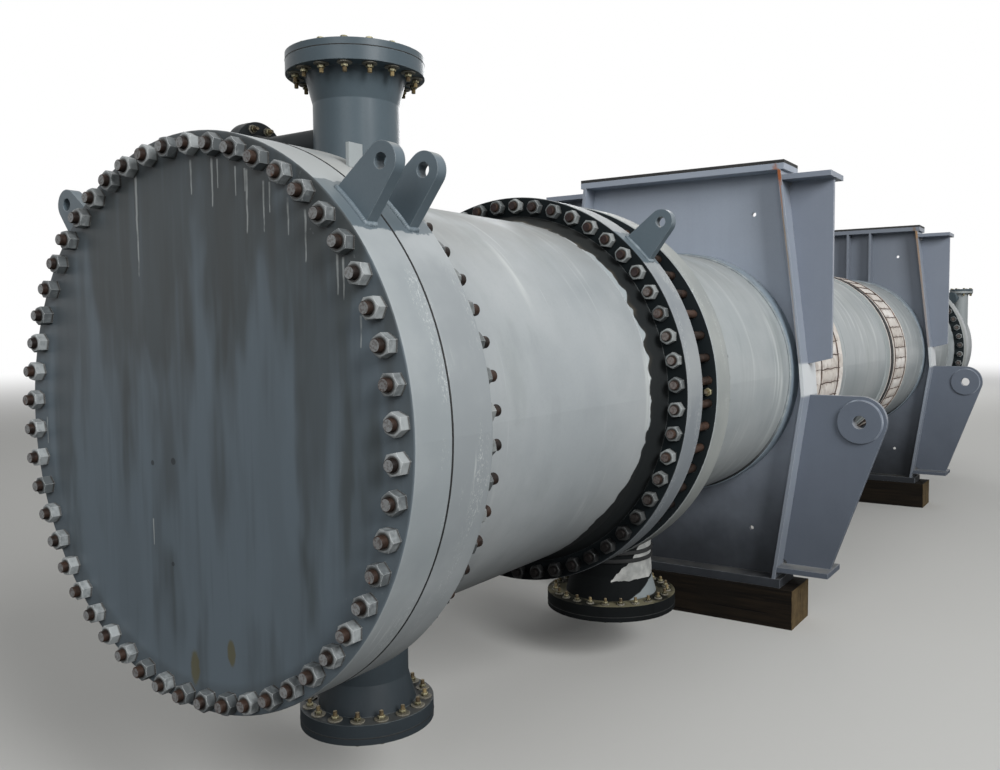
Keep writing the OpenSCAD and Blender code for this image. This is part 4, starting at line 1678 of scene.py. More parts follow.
@dataclass
class Workshop:
    """What every sub-assembly needs: the frame, the finishes and the growers."""

    nodes: dict[str, bpy.types.Object]
    finishes: Finishes
    growers: Growers
    made: list[bpy.types.Object] = field(default_factory=list)

    def keep(self, piece: bpy.types.Object, slot: Slot) -> None:
        """Let a finished piece ride on the body.

        Args:
            piece: the piece.
            slot: the record's slot, which is not used.
        """
        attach(piece, "root")
        self.made.append(piece)
        log.info("%s: %d faces", piece.name, len(piece.data.polygons))

    def dress(self, finish: str, *nodes: str) -> None:
        """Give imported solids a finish.

        Args:
            finish: name of the material.
            nodes: names of the solids.
        """
        for name in nodes:
            mesh = self.nodes[name].data
            mesh.materials.clear()
            mesh.materials.append(self.finishes[finish])
            for polygon in mesh.polygons:
                polygon.material_index = 0

    def ring(
        self,
        name: str,
        template: bpy.types.Mesh,
        finish: str,
        slot: Slot,
        count: int,
        radius: float,
        centre: Sequence[float],
        facing: Facing,
        spin: float = 0.0,
        lift: float = 0.0,
        seed: int = 1,
        turn: float | None = None,
    ) -> None:
        """Grow a ring of fasteners from a template that looks along +Z.

        Args:
            name: the piece's name.
            template: mesh of one fastener.
            finish: name of its material.
            slot: the record's slot.
            count: how many stand on the ring.
            radius: the ring's radius in metres.
            centre: the ring's middle.
            facing: the way that the fasteners look.
            spin: the largest odd turn of one fastener.
            lift: the largest odd lift of one fastener.
            seed: seed of the odd turns, lifts and tones.
            turn: angle of the first one, or None for half a pitch.
        """
        piece = grow(
            put(name, template),
            self.growers.ring,
            Count=count,
            Radius=radius,
            First_turn=math.pi / count if turn is None else turn,
            Spin=spin,
            Lift=lift,
            Centre=Vector(centre),
            Facing=Vector(facing.value),
            Seed=seed,
            Material=self.finishes[finish],
        )
        self.keep(piece, slot)

    def beads(
        self,
        name: str,
        paths: Sequence[Path],
        finish: str,
        slot: Slot,
        radius: float,
        step: float = 0.012,
        wander: float = 0.2,
        sides: int = 6,
        closed: bool = True,
    ) -> None:
        """Sweep beads or wires along paths.

        Args:
            name: the piece's name.
            paths: points of each path.
            finish: name of the material.
            slot: the record's slot.
            radius: the bead's radius.
            step: length between its rings.
            wander: how much its thickness wanders.
            sides: sides of its section.
            closed: whether each path closes on itself.
        """
        mesh = bpy.data.meshes.new(name)
        points: list[Vector] = []
        edges: list[tuple[int, int]] = []
        for path in paths:
            first = len(points)
            points.extend(path)
            edges.extend((first + i, first + i + 1) for i in range(len(path) - 1))
            if closed:
                edges.append((first + len(path) - 1, first))
        mesh.from_pydata(points, edges, [])
        piece = grow(
            put(name, mesh),
            self.growers.bead,
            Radius=radius,
            Step=step,
            Wander=wander,
            Sides=sides,
            Seed=len(name),
            Material=self.finishes[finish],
        )
        self.keep(piece, slot)

    def gap_line(self, name: str, path: Path, slot: Slot) -> None:
        """Make the dark line between two bolted plates, just proud of their rims."""
        self.beads(name, [path], "gasket_dull", slot, 0.0034, step=0.02, wander=0.0)

    def strap(
        self,
        name: str,
        centre: Sequence[float],
        radius: float,
        width: float,
        thickness: float,
        facing: Facing,
        slot: Slot,
    ) -> None:
        """Make a flat strap with rounded edges round an axis.

        Args:
            name: the piece's name.
            centre: middle of its first edge.
            radius: its inner radius.
            width: its width along the axis.
            thickness: its thickness.
            facing: the way from its first edge to its other one.
            slot: the record's slot.
        """
        soft = thickness * 0.4
        profile = (
            (0.0, 0.0),
            (thickness - soft, 0.0),
            (thickness, soft),
            (thickness, width - soft),
            (thickness - soft, width),
            (0.0, width),
            (0.0, 0.0),
        )
        rings = [round_ring(radius + out, up, STRAP_SIDES) for out, up in profile]
        mesh = stacked(name, rings, False, False)
        mesh.transform(Matrix.Translation(centre) @ Euler(facing.value).to_matrix().to_4x4())
        self.keep(put(name, soften(mesh, 40), self.finishes["strap_black"]), slot)


def on_ring(turn: float, y: float, radius: float) -> Point:
    """Place at an angle and a radius round the vessel axis."""
    return (radius * math.cos(turn), y, VESSEL.axis_z + radius * math.sin(turn))


def ring_path(y: float, radius: float) -> Path:
    """Points of a circle round the vessel axis."""
    turns = [math.tau * i / RING_POINTS for i in range(RING_POINTS)]
    return [Vector(on_ring(turn, y, radius)) for turn in turns]


def saddle_path(centre_y: float, neck_r: float, barrel_r: float, side: int) -> Path:
    """Points where an upright neck meets the barrel.

    Args:
        centre_y: place of the neck along the vessel.
        neck_r: the neck's radius.
        barrel_r: the barrel's radius.
        side: 1 for a neck on top and -1 for one below.

    Returns:
        The points.
    """
    points = []
    for i in range(SADDLE_POINTS):
        turn = math.tau * i / SADDLE_POINTS
        x, y = neck_r * math.cos(turn), centre_y + neck_r * math.sin(turn)
        points.append(Vector((x, y, VESSEL.axis_z + side * math.sqrt(barrel_r**2 - x**2))))
    return points


def disc_path(centre: Vector, radius: float, axis: Facing) -> Path:
    """Points of a circle about an axis through its centre."""
    turned = Euler(axis.value).to_matrix()
    return [centre + turned @ Vector(p) for p in round_ring(radius, 0.0, DISC_POINTS)]


def middle_of(node: str) -> Vector:
    """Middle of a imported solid's box."""
    low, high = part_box(node)
    return (low + high) / 2


# ------------------------------------------------------------ sub-assemblies


GIRTH_THREAD = Thread(0.0381, 0.0603, 0.0373, 0.009)
SHIP_THREAD = Thread(0.016, 0.024, 0.013, 0.018, sides=12)
COLLAR_THREAD = Thread(0.020, 0.034, 0.018, 0.014, sides=10)


@dataclass
class GirthJoint:
    """Ring of long studs with a nut at each end, through a pair of girth flanges."""

    name: str
    front_y: float
    back_y: float
    front_out: float
    back_out: float
    front_finish: str
    stud_finish: str
    slot: Slot
    seed: int

    def build(self, shop: Workshop) -> None:
        """Make both rings of nuts and the studs.

        Args:
            shop: the workshop.
        """
        nut, length = GIRTH_THREAD.nut, self.back_y - self.front_y
        stud = GIRTH_THREAD.stud(-length - self.back_out, self.front_out)
        spots = {"count": VESSEL.studs, "radius": VESSEL.circle_r, "slot": self.slot}
        front = {"centre": (0.0, self.front_y, VESSEL.axis_z), "facing": Facing.FRONT, **spots}
        back = {"centre": (0.0, self.back_y, VESSEL.axis_z), "facing": Facing.BACK, **spots}
        shop.ring(f"{self.name}_front_nuts", nut(), self.front_finish, spin=math.tau,
                  seed=self.seed, **front)
        shop.ring(f"{self.name}_back_nuts", nut(), "hub_nut_film", spin=math.tau,
                  seed=self.seed + 1, **back)
        shop.ring(f"{self.name}_studs", stud, self.stud_finish, lift=0.006,
                  seed=self.seed + 2, **front)


@dataclass
class FlangeBolts:
    """Shipping bolts of a nozzle flange and its closing plate, and the line between the two."""

    name: str
    centre: Point
    facing: Facing
    reverse: Facing
    flange_t: float
    blind_t: float
    flange_r: float
    circle_r: float
    count: int
    washer_r: float
    seed: int
    washer_t: float = 0.005

    def build(self, shop: Workshop) -> None:
        """Make washers and nuts behind the flange, heads on the plate, bolts and the line.

        Args:
            shop: the workshop.
        """
        thread = SHIP_THREAD
        out = Euler(self.facing.value).to_matrix() @ Vector((0, 0, 1))
        face = Vector(self.centre)
        behind, before = face - out * self.flange_t, face + out * self.blind_t
        spots = {"count": self.count, "radius": self.circle_r, "slot": Slot.NOZZLE}
        shop.ring(f"{self.name}_washers", thread.washer(self.washer_r, self.washer_t),
                  "washer_film", centre=behind, facing=self.reverse, seed=self.seed, **spots)
        shop.ring(f"{self.name}_nuts", thread.nut(), "brassy_nut_film",
                  centre=behind - out * self.washer_t, facing=self.reverse, spin=math.tau,
                  seed=self.seed + 1, **spots)
        shop.ring(f"{self.name}_heads", thread.nut(is_head=True), "brassy_nut_film",
                  centre=before, facing=self.facing, spin=math.tau, seed=self.seed + 2, **spots)
        low = -(self.flange_t + self.washer_t + thread.nut_height + thread.stand_out)
        shop.ring(f"{self.name}_bolts", thread.stud(low, self.blind_t + 0.002),
                  "small_stud_steel", centre=face, facing=self.facing, lift=0.001,
                  seed=self.seed + 3, **spots)
        axis = Facing.RIGHT if abs(out.x) > 0.5 else Facing.UP
        path = disc_path(face, self.flange_r - LINE_SUNK, axis)
        shop.gap_line(f"{self.name}_gap_line", path, Slot.NOZZLE)


@dataclass
class Channel:
    """Front end of the exchanger: cover, channel barrel, its flanges, nozzles and lugs."""

    front_flange_t: float = 0.190
    flange_t: float = 0.165
    nozzle_r: float = 0.162
    lug_base_w: float = 0.152
    lug_t: float = 0.040

    def build(self, shop: Workshop) -> None:
        """Make the fasteners and beads of the channel.

        Args:
            shop: the workshop.
        """
        cover_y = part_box("channel_cover")[0].y
        front_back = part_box("channel_front_flange")[0].y + self.front_flange_t
        rear_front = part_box("channel_rear_flange")[1].y - self.flange_t
        shell_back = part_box("shell_front_flange")[0].y + self.flange_t
        GirthJoint("cover", cover_y, front_back, 0.052, 0.085, "cover_nut_film",
                   "cover_stud_steel", Slot.COVER, seed=11).build(shop)
        GirthJoint("tubesheet", rear_front, shell_back, 0.050, 0.050, "hub_nut_film",
                   "gap_stud_steel", Slot.FLANGE, seed=21).build(shop)
        gap = ring_path(middle_of("cover_gasket").y, VESSEL.flange_r - LINE_SUNK)
        shop.gap_line("cover_gap_line", gap, Slot.FLANGE)
        self.build_nozzles(shop)
        self.build_beads(shop, front_back, rear_front)
        self.build_lug_beads(shop)

    def build_nozzles(self, shop: Workshop) -> None:
        """Make the fasteners of the top, bottom and side flanges.

        Args:
            shop: the workshop.
        """
        top_lo, top_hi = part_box("top_nozzle_blind")
        low_lo, low_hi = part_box("bottom_nozzle_blind")
        side_lo, side_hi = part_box("branch_blind")
        y = (top_lo.y + top_hi.y) / 2
        FlangeBolts("top_nozzle", (0.0, y, top_lo.z), Facing.UP, Facing.DOWN, 0.051,
                    top_hi.z - top_lo.z, 0.260, 0.2255, 16, 0.027, seed=31).build(shop)
        FlangeBolts("bottom_nozzle", (0.0, y, low_hi.z), Facing.DOWN, Facing.UP, 0.051,
                    low_hi.z - low_lo.z, 0.260, 0.2255, 16, 0.027, seed=41).build(shop)
        place = (side_hi.x, y, (side_lo.z + side_hi.z) / 2)
        FlangeBolts("branch", place, Facing.LEFT, Facing.RIGHT, 0.030,
                    side_hi.x - side_lo.x, 0.127, 0.100, 8, 0.018, seed=51).build(shop)

    def build_beads(self, shop: Workshop, front_back: float, rear_front: float) -> None:
        """Make the seams of the barrel and the nozzle welds.

        Args:
            shop: the workshop.
            front_back: where the front flange ends and its hub starts.
            rear_front: where the rear flange starts, behind its hub.
        """
        front_y, rear_y = front_back + VESSEL.hub_l, rear_front - VESSEL.hub_l
        seam_r = VESSEL.channel_r - SEAM_SUNK
        for name, y, finish in (
            ("channel_seam", front_y, "barrel_bead"),
            ("channel_rear_seam", rear_y, "channel_film"),
        ):
            path = ring_path(y, seam_r)
            shop.beads(name, [path], finish, Slot.BARREL, 0.005, step=0.02, sides=5)
        y = middle_of("top_nozzle").y
        saddles = [saddle_path(y, self.nozzle_r, VESSEL.channel_r, side) for side in (1, -1)]
        shop.beads("nozzle_welds", saddles, "nozzle_bead", Slot.NOZZLE, 0.010, step=0.008)

    def build_lug_beads(self, shop: Workshop) -> None:
        """Make the fat welds round the feet of the lugs.

        Args:
            shop: the workshop.
        """
        paths: list[Path] = []
        for node in ("cover_lugs", "channel_front_lugs", "channel_rear_lugs"):
            middle = Vector((0, middle_of(node).y, VESSEL.axis_z))
            for side in (-1.0, 1.0):
                turn = Matrix.Rotation(side * VESSEL.lug_turn, 3, "Y")
                paths.append([turn @ Vector(p) + middle for p in self.foot_outline()])
        shop.beads("lug_welds", paths, "lug_bead", Slot.BARREL, 0.010, step=0.007, wander=0.3,
                   sides=8)

    def foot_outline(self) -> list[Point]:
        """Points round the foot of a lug on the rim.

        Returns:
            The points.
        """
        half_w, half_t = self.lug_base_w / 2, self.lug_t / 2
        steps = [half_w * (i / 5 - 1) for i in range(11)]
        foot = [(x, math.sqrt(VESSEL.flange_r**2 - x * x)) for x in steps]
        front = [(x, -half_t, z) for x, z in foot]
        return front + [(x, half_t, z) for x, z in reversed(foot)]


@dataclass
class ShellEnd:
    """Shell nozzle and the far end: rear joint, rear nozzle and their seams."""

    flange_t: float = 0.180
    shell_nozzle_r: float = 0.2285
    seam_parts: tuple[float, float] = (0.36, 0.68)

    def build(self, shop: Workshop) -> None:
        """Make the fasteners and beads.

        Args:
            shop: the workshop.
        """
        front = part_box("shell_rear_flange")[1].y - self.flange_t
        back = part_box("bonnet_flange")[0].y + self.flange_t
        GirthJoint("rear", front, back, 0.050, 0.050, "hub_nut_film", "gap_stud_steel",
                   Slot.FLANGE, seed=61).build(shop)
        lo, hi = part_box("shell_nozzle_blind")
        FlangeBolts("shell_nozzle", (0.0, (lo.y + hi.y) / 2, hi.z), Facing.DOWN, Facing.UP,
                    0.060, hi.z - lo.z, 0.370, 0.325, 24, 0.022, seed=71).build(shop)
        lo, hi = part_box("rear_nozzle_blind")
        middle = (lo + hi) / 2
        FlangeBolts("rear_nozzle", (middle.x, middle.y, lo.z), Facing.UP, Facing.DOWN, 0.028,
                    hi.z - lo.z, 0.1395, 0.1205, 8, 0.018, seed=81).build(shop)
        self.build_beads(shop, front, back)
        TornWrap(self.shell_nozzle_r).build(shop)
        self.build_collar_bolts(shop)

    def build_collar_bolts(self, shop: Workshop) -> None:
        """Make the four short bolts that hold the tubesheet to the shell flange.

        Args:
            shop: the workshop.
        """
        thread = COLLAR_THREAD
        centre = (0.0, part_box("shell_front_flange")[0].y, VESSEL.axis_z)
        spots = {"slot": Slot.FLANGE, "count": 4, "radius": VESSEL.circle_r, "centre": centre,
                 "facing": Facing.FRONT, "turn": 0.0}
        stud = thread.stud(0.0, thread.nut_height + thread.stand_out)
        shop.ring("collar_nuts", thread.nut(), "brassy_nut_film", seed=91, **spots)
        shop.ring("collar_studs", stud, "small_stud_steel", seed=92, **spots)

    def build_beads(self, shop: Workshop, front: float, back: float) -> None:
        """Make the seams of the shell and the bonnet, and the nozzle weld.

        Args:
            shop: the workshop.
            front: where the shell's rear flange starts, behind its hub.
            back: where the bonnet's flange ends and its hub starts.
        """
        lo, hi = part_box("shell_barrel")
        shell_ys = [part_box("shell_front_flange")[1].y, front - VESSEL.hub_l]
        shell_ys += [lo.y + (hi.y - lo.y) * part for part in self.seam_parts]
        bonnet_ys = [back + VESSEL.hub_l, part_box("rear_head")[0].y]
        seams = [ring_path(y, VESSEL.shell_r - SEAM_SUNK) for y in shell_ys]
        seams += [ring_path(y, VESSEL.channel_r - SEAM_SUNK) for y in bonnet_ys]
        shop.beads("shell_seams", seams, "barrel_bead", Slot.BARREL, 0.005, step=0.022, sides=5)
        y = middle_of("shell_nozzle").y
        saddle = saddle_path(y, self.shell_nozzle_r, VESSEL.shell_r, -1)
        shop.beads("shell_nozzle_weld", [saddle], "nozzle_bead", Slot.NOZZLE, 0.011)


@dataclass
class TornWrap:
    """Torn plastic on the right side of the shell nozzle, under two straps."""

    neck_r: float
    low: float = 0.150
    start: float = math.radians(-62)
    end: float = math.radians(70)
    thickness: float = 0.0015
    strap_up: float = 0.148
    strap_w: float = 0.022
    strap_t: float = 0.010
    straps: tuple[float, float] = (-0.033, 0.011)
    strap_reach: float = 0.048
    columns: int = 36
    levels: int = 22
    seed: int = 7
    torn: tuple[tuple[float, float], ...] = (
        (0.0, 0.02),
        (0.12, 0.09),
        (0.22, 0.12),
        (0.30, 0.20),
        (0.45, 0.23),
        (0.70, 0.26),
        (1.0, 0.22),
    )

    def build(self, shop: Workshop) -> None:
        """Make the sheet and its straps.

        Args:
            shop: the workshop.
        """
        name, middle_y = "shell_nozzle_wrap", middle_of("shell_nozzle").y
        low_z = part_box("shell_nozzle")[0].z + self.low
        rng = random.Random(self.seed)
        parts = [i / self.columns for i in range(self.columns + 1)]
        heights = [self.edge_height(part) + rng.uniform(-0.008, 0.008) for part in parts]
        points: list[Point] = []
        for skin in (0.0, self.thickness):
            for k in range(self.levels + 1):
                for i, top in enumerate(heights):
                    turn = self.start + (self.end - self.start) * i / self.columns
                    height = top * k / self.levels
                    out = self.reach(turn, height, k / self.levels) + skin
                    y = middle_y + out * math.sin(turn)
                    points.append((out * math.cos(turn), y, low_z + height))
        mesh = skinned(name, points, self.columns, self.levels)
        piece = put(name, mesh, shop.finishes["torn_plastic"])
        wide = (self.end - self.start) * (self.neck_r + 0.004)
        area = wide * sum(heights) / len(heights)
        shop.keep(piece, Slot.NOZZLE)
        for k, up in enumerate(self.straps):
            centre = (0.0, middle_y, low_z + (self.strap_up + up))
            shop.strap(f"shell_nozzle_strap_{k + 1}", centre, self.neck_r + 0.003, self.strap_w,
                       self.strap_t, Facing.UP, Slot.NOZZLE)

    def reach(self, turn: float, height: float, part: float) -> float:
        """Find how far out the sheet lies.

        Args:
            turn: angle round the nozzle.
            height: height over the sheet's lower edge.
            part: the same as a part of the torn edge's height.

        Returns:
            Its radius: on the neck under the straps, in folds elsewhere, flared at the top.
        """
        loose = min(1.0, max(0.0, abs(height - self.strap_up) - self.strap_reach) / 0.03)
        fold = 0.0035 * loose * (1 + noise.noise(Vector((turn * 5, height * 16, 3.0))))
        flare = 0.012 * max(0.0, part - 0.75) * abs(math.sin(9 * turn))
        return self.neck_r + 0.0012 + fold + flare

    def edge_height(self, part: float) -> float:
        """Height of the torn top edge, from one end of the wrap to the other.

        Args:
            part: how far along the edge, from 0 to 1.

        Returns:
            The height.
        """
        for (a, low), (b, high) in zip(self.torn, self.torn[1:]):
            if part <= b:
                return low + (high - low) * (part - a) / (b - a)
        return self.torn[-1][1]


@dataclass
class Support:
    """Welds of one stacking support."""

    name: str
    eye_x: float = 1.154
    eye_drop: float = 0.285
    doubler_r: float = 0.130
    eye_t: float = 0.040

    def build(self, shop: Workshop) -> None:
        """Make the weld beads of the support.

        Args:
            shop: the workshop.
        """
        ring_lo, ring_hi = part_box(f"{self.name}_wear_ring")
        paths = [ring_path(end.y, VESSEL.shell_r + 0.004) for end in (ring_lo, ring_hi)]
        shop.beads(f"{self.name}_ring_welds", paths, "ring_bead", Slot.SUPPORT, 0.009,
                   step=0.016)
        mid, eye_z = middle_of(f"{self.name}_web").y, VESSEL.axis_z - self.eye_drop
        paths = []
        for side in (-1, 1):
            for face in (-1, 1):
                centre = Vector((side * self.eye_x, mid + face * self.eye_t / 2, eye_z))
                paths.append(disc_path(centre, self.doubler_r, Facing.FRONT))
        shop.beads(f"{self.name}_eye_welds", paths, "support_bead", Slot.PAD_EYE, 0.007,
                   step=0.010)


@dataclass
class BlanketBand:
    """Quilted blanket round the shell under a grid of wires.

    Its middle row between the two wires is quilted. In front of a strap the cloth is drawn
    onto the shell.
    """

    node: str
    wires: tuple[float, float]
    ties: tuple[float, float]
    strap_at: float | None = None
    cells: int = 51
    fine_round: int = 5
    fine_along: int = 7
    bulge: float = 0.008
    floor_r: float = 0.7615
    strap_w: float = 0.085
    strap_t: float = 0.004

    def build(self, shop: Workshop) -> None:
        """Make the blanket, its wires and its strap.

        Args:
            shop: the workshop.
        """
        lo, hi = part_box(self.node)
        rows = [lo.y, *self.wires, hi.y]
        mesh = self.cloth(rows, hi.x)
        piece = put(f"{self.node}_blanket", mesh, shop.finishes["blanket_cloth"])
        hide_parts(self.node)
        shop.keep(piece, Slot.BLANKET)
        hoops = [ring_path(y, hi.x - 0.008) for y in rows[1:-1]]
        shop.beads(f"{self.node}_hoops", hoops, "wire_rust", Slot.BLANKET, 0.004, step=0.03,
                   sides=5, wander=0.1)
        ties = [self.tie(k, hi.x - 0.007) for k in range(self.cells)]
        shop.beads(f"{self.node}_ties", ties, "wire_rust", Slot.BLANKET, 0.0032, step=0.04,
                   sides=4, wander=0.1, closed=False)
        if self.strap_at is not None:
            centre = (0.0, self.strap_at, VESSEL.axis_z)
            shop.strap(f"{self.node}_strap", centre, hi.x - 0.004, self.strap_w, self.strap_t,
                       Facing.BACK, Slot.BLANKET)

    def tie(self, number: int, radius: float) -> Path:
        """Points of one wire along the vessel, which wanders a little.

        Args:
            number: the wire's number.
            radius: its distance from the axis.

        Returns:
            The points.
        """
        first, last = self.ties
        path = []
        for i in range(15):
            turn = math.tau * number / self.cells + 0.004 * math.sin(i * 1.3 + number)
            path.append(Vector(on_ring(turn, first + (last - first) * i / 14, radius)))
        return path

    def cloth(self, rows: Sequence[float], outer: float) -> bpy.types.Mesh:
        """Make the blanket's closed mesh.

        Args:
            rows: places of the edges and the wires along the vessel.
            outer: radius of the blanket's solid.

        Returns:
            The mesh, with "seam" on its points and "patch" on its faces for the shader.
        """
        count, fine = self.cells * self.fine_round, self.fine_along
        stations: list[tuple[float, float]] = []
        for a, b in zip(rows, rows[1:]):
            stations += [(a + (b - a) * k / fine, k / fine) for k in range(fine)]
        stations.append((rows[-1], 0.0))
        points: list[Point] = []
        seams: list[float] = []
        last = len(stations) - 1
        for s, (y, part) in enumerate(stations):
            for i in range(count):
                point, seam = self.cloth_point(s, y, part, i, outer, s in (0, last))
                points.append(point)
                seams.append(seam)
        rings = [list(range(s * count, (s + 1) * count)) for s in range(last + 1)]
        for ring in (rings[0], rings[-1]):
            inner = list(range(len(points), len(points) + count))
            for i in ring:
                turn = math.tau * (i % count) / count
                points.append(on_ring(turn, points[i][1], self.floor_r))
                seams.append(seams[i])
            rings = [inner, *rings] if ring is rings[0] else [*rings, inner]
        mesh = bpy.data.meshes.new(self.node)
        mesh.from_pydata(points, [], ring_faces(rings))
        seam = mesh.attributes.new("seam", "FLOAT", "POINT")
        seam.data.foreach_set("value", seams)
        rng = random.Random(len(self.node))
        lots = [rng.random() for _ in range(self.cells * (len(rows) + 2))]
        cells = []
        for k in range(len(mesh.polygons)):
            row = min(len(rows), (k // count) // fine)
            cells.append(lots[(k % count) // self.fine_round + self.cells * row])
        patch = mesh.attributes.new("patch", "FLOAT", "FACE")
        patch.data.foreach_set("value", cells)
        turn_outwards(mesh, merge=False)
        mesh.polygons.foreach_set("use_smooth", [True] * len(mesh.polygons))
        return mesh

    def cloth_point(
        self, station: int, y: float, part: float, number: int, outer: float, is_edge: bool
    ) -> tuple[Point, float]:
        """Find one point of the cloth's outer side.

        Args:
            station: number of its ring along the vessel.
            y: the ring's place.
            part: the same as a part of the way from one wire to the next.
            number: number of the point round the ring.
            outer: radius of the blanket's solid.
            is_edge: whether the ring is at an end, where the cloth's edge wavers.

        Returns:
            The point, and how near it is to a seam: 1 on one, -1 on drawn cloth.
        """
        turn = math.tau * number / (self.cells * self.fine_round)
        x, z = math.cos(turn), math.sin(turn)
        across = (number % self.fine_round) / self.fine_round
        is_quilt = self.fine_along < station < 2 * self.fine_along
        puff = math.sin(math.pi * across) ** 0.6 if is_quilt else 0.8
        puff = math.sin(math.pi * part) ** 0.6 * puff
        rough = noise.noise(Vector((x * 9, z * 9, y * 7)))
        is_drawn = self.strap_at is not None and y < self.strap_at
        if is_drawn:
            r = self.floor_r + 0.004 + rough * 0.001
        else:
            r = outer - 0.003 - self.bulge * (1 - puff) + rough * 0.003
        slack = 0.012 * noise.noise(Vector((x * 5, z * 5, station * 1.0))) if is_edge else 0.0
        return on_ring(turn, y + slack, r), -1.0 if is_drawn else 1.0 - puff


# --------------------------------------------------------------------- scene


@dataclass(frozen=True)
class Eye:
    """Camera that stands where the photographer stood."""

    place: Point = (2.4628, -7.8148, 1.8963)
    yaw: float = math.radians(33.008)
    pitch: float = math.radians(-3.5754)
    roll: float = math.radians(-0.4278)
    lens: float = 32.670
    shift: tuple[float, float] = (-0.03066, -0.0015)

    def build(self) -> None:
        """Make the camera."""
        level_y = math.cos(self.pitch)
        forward = Vector(
            (-math.sin(self.yaw) * level_y, math.cos(self.yaw) * level_y, math.sin(self.pitch))
        )
        level = forward.cross(Vector((0, 0, 1))).normalized()
        upright = level.cross(forward)
        right = level * math.cos(self.roll) + upright * math.sin(self.roll)
        up = upright * math.cos(self.roll) - level * math.sin(self.roll)
        data = bpy.data.cameras.new("eye")
        data.lens, data.sensor_width = self.lens, 36.0
        data.shift_x, data.shift_y = self.shift
        data.clip_start, data.clip_end = 0.05, 400.0
        camera = bpy.data.objects.new("eye", data)
        turned = Matrix((right, up, -forward)).transposed().to_4x4()
        camera.matrix_world = Matrix.Translation(self.place) @ turned
        bpy.context.scene.collection.objects.link(camera)
        bpy.context.scene.camera = camera


@dataclass(frozen=True)
class Studio:
    """Plain pale floor, soft lamps and a pale world.

    Each lamp is (name, place, target, size in metres, power in watts).
    """

    floor_half: float = 90.0
    world_level: float = 0.18
    fade: tuple[float, float] = (12.0, 42.0)
    lamps: tuple[tuple[str, Point, Point, float, float], ...] = (
        ("key", (14.0, -9.0, 9.0), (0.0, -2.0, 1.5), 7.0, 2400.0),
        ("sky", (1.0, 3.0, 15.0), (0.0, 0.0, 1.0), 12.0, 120.0),
        ("fill", (6.0, -24.0, 10.0), (0.0, -4.0, 1.4), 10.0, 1400.0),
        ("back", (-9.0, 20.0, 8.0), (0.0, 2.0, 1.5), 10.0, 1300.0),
    )

    def build(self) -> None:
        """Make the floor, the world and the lamps."""
        side = self.floor_half
        points = [(-side, -side, 0), (side, -side, 0), (side, side, 0), (-side, side, 0)]
        mesh = bpy.data.meshes.new("floor")
        mesh.from_pydata(points, [], [(0, 1, 2, 3)])
        put("floor", mesh, self.floor_finish())
        self.build_world()
        bpy.context.scene.view_settings.view_transform = "Standard"
        for lamp in self.lamps:
            self.hang(*lamp)

    def floor_finish(self) -> bpy.types.Material:
        """A pale matt floor that fades to the backdrop's white far away.

        Returns:
            The material.
        """
        w = Skin("floor_film")
        x, y, _ = w.split(w.coords)
        camera = w.take("ShaderNodeLightPath", out="Is Camera Ray")
        w.feed(w.shader.inputs["Base Color"], w.mix(camera, "4c4c4a", "cfcfcc"))
        w.shader.inputs["Roughness"].default_value = 0.9
        glow = w.take("ShaderNodeEmission", {"Color": "ffffff", "Strength": 1.0})
        far = w.length(x, y).span(*self.fade) * w.seen()
        film = Value(w, w.shader.outputs[0])
        blend = w.take("ShaderNodeMixShader", {0: far, 1: film, 2: glow})
        w.feed(w.output.inputs["Surface"], blend)
        return w.material

    def build_world(self) -> None:
        """White to the camera and in reflections, softer as light."""
        world = bpy.data.worlds.new("studio")
        world.use_nodes = True
        world.node_tree.nodes.clear()
        w = Wiring(world.node_tree)
        strength = w.seen() * (1.0 - self.world_level) + self.world_level
        glow = w.take("ShaderNodeBackground", {"Color": "ffffff", "Strength": strength})
        w.add("ShaderNodeOutputWorld", {"Surface": glow})
        bpy.context.scene.world = world

    @staticmethod
    def hang(name: str, place: Point, target: Point, size: float, power: float) -> None:
        """Make a square soft lamp that looks at a target.

        Args:
            name: the lamp's name.
            place: where it hangs.
            target: what it looks at.
            size: its side in metres.
            power: its power in watts.
        """
        data = bpy.data.lights.new(name, "AREA")
        data.size, data.energy = size, power
        lamp = bpy.data.objects.new(name, data)
        aim = (Vector(target) - Vector(place)).to_track_quat("-Z", "Y")
        lamp.matrix_world = Matrix.Translation(place) @ aim.to_matrix().to_4x4()
        bpy.context.scene.collection.objects.link(lamp)


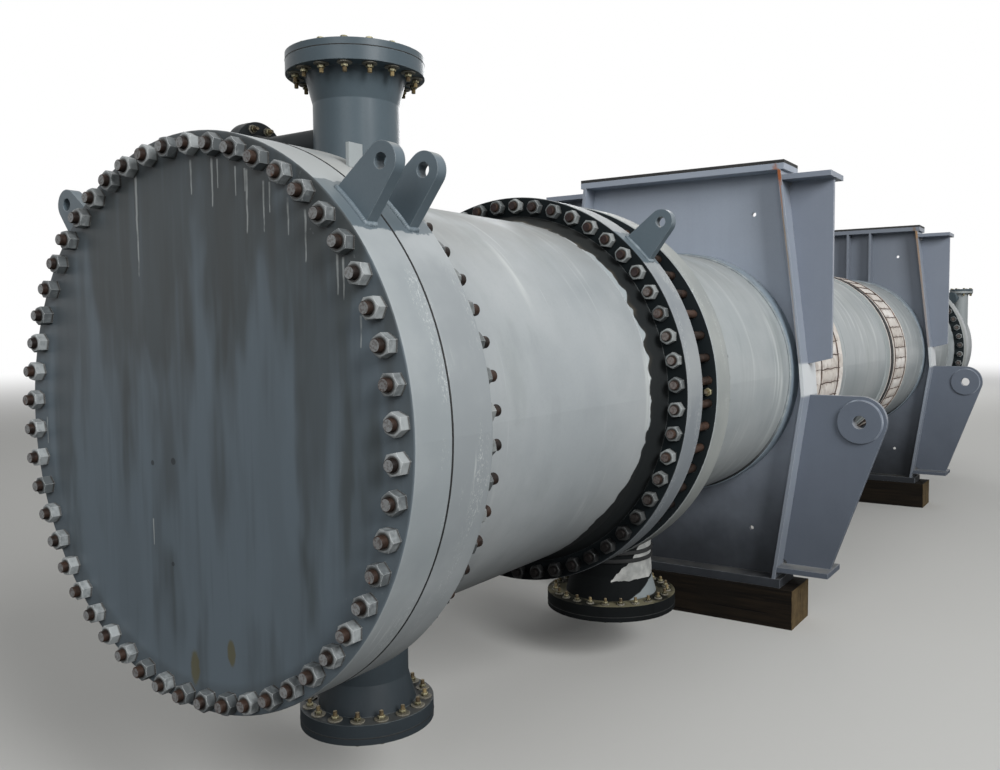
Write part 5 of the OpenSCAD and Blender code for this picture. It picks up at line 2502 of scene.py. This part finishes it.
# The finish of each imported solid. Those of a support stand for its front and its rear one.
DRESS = {
    "cover_film": ("channel_cover",),
    "front_flange_film": ("channel_front_flange", "bonnet_flange"),
    "channel_film": ("channel_barrel",),
    "shell_film": ("shell_barrel",),
    "bonnet_film": ("rear_bonnet", "rear_head", "rear_nozzle", "rim_bracket"),
    "dark_flange_film": ("shell_front_flange", "shell_rear_flange"),
    "sprayed_flange_film": ("channel_rear_flange",),
    "nozzle_film": ("top_nozzle", "top_nozzle_blind", "bottom_nozzle", "bottom_nozzle_blind",
                    "rear_nozzle_blind", "rear_branch"),
    "under_film": ("shell_nozzle", "shell_nozzle_blind"),
    "branch_film": ("branch_nozzle", "branch_blind"),
    "lug_film": ("cover_lugs", "channel_front_lugs", "channel_rear_lugs"),
    "gasket_dull": ("cover_gasket", "girth_gaskets", "rear_gasket"),
    "gap_steel": ("tubesheet",),
}
SUPPORT_DRESS = {
    "ring_film": ("wear_ring",),
    "support_film": ("web", "top_plate", "base_plate", "ribs"),
    "side_plate_film": ("side_plates",),
    "wing_film": ("wings",),
    "pad_eye_film": ("pad_eyes",),
    "strip_rubber": ("bearing_strip",),
    "timber_grain": ("timbers",),
}


def dress_solids(shop: Workshop) -> None:
    """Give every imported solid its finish.

    Args:
        shop: the workshop.
    """
    for finish, nodes in DRESS.items():
        shop.dress(finish, *nodes)
    for side in ("front", "rear"):
        for finish, nodes in SUPPORT_DRESS.items():
            shop.dress(finish, *(f"{side}_{node}" for node in nodes))


def main() -> None:
    """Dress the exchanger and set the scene."""
    logging.basicConfig(level=logging.INFO, format="%(name)s %(message)s")
    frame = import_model()
    Eye().build()
    shop = Workshop(frame["nodes"], Finishes(Effects()), Growers())
    dress_solids(shop)
    Channel().build(shop)
    ShellEnd().build(shop)
    for name in ("front", "rear"):
        Support(name).build(shop)
    BlanketBand("front_band", (-1.5965, -1.1605), (-1.720, -1.130)).build(shop)
    BlanketBand("rear_band", (0.795, 1.250), (0.795, 1.265), strap_at=0.605).build(shop)
    Studio().build()
    log.info("%d pieces added", len(shop.made))


if __name__ == "__main__":
    main()
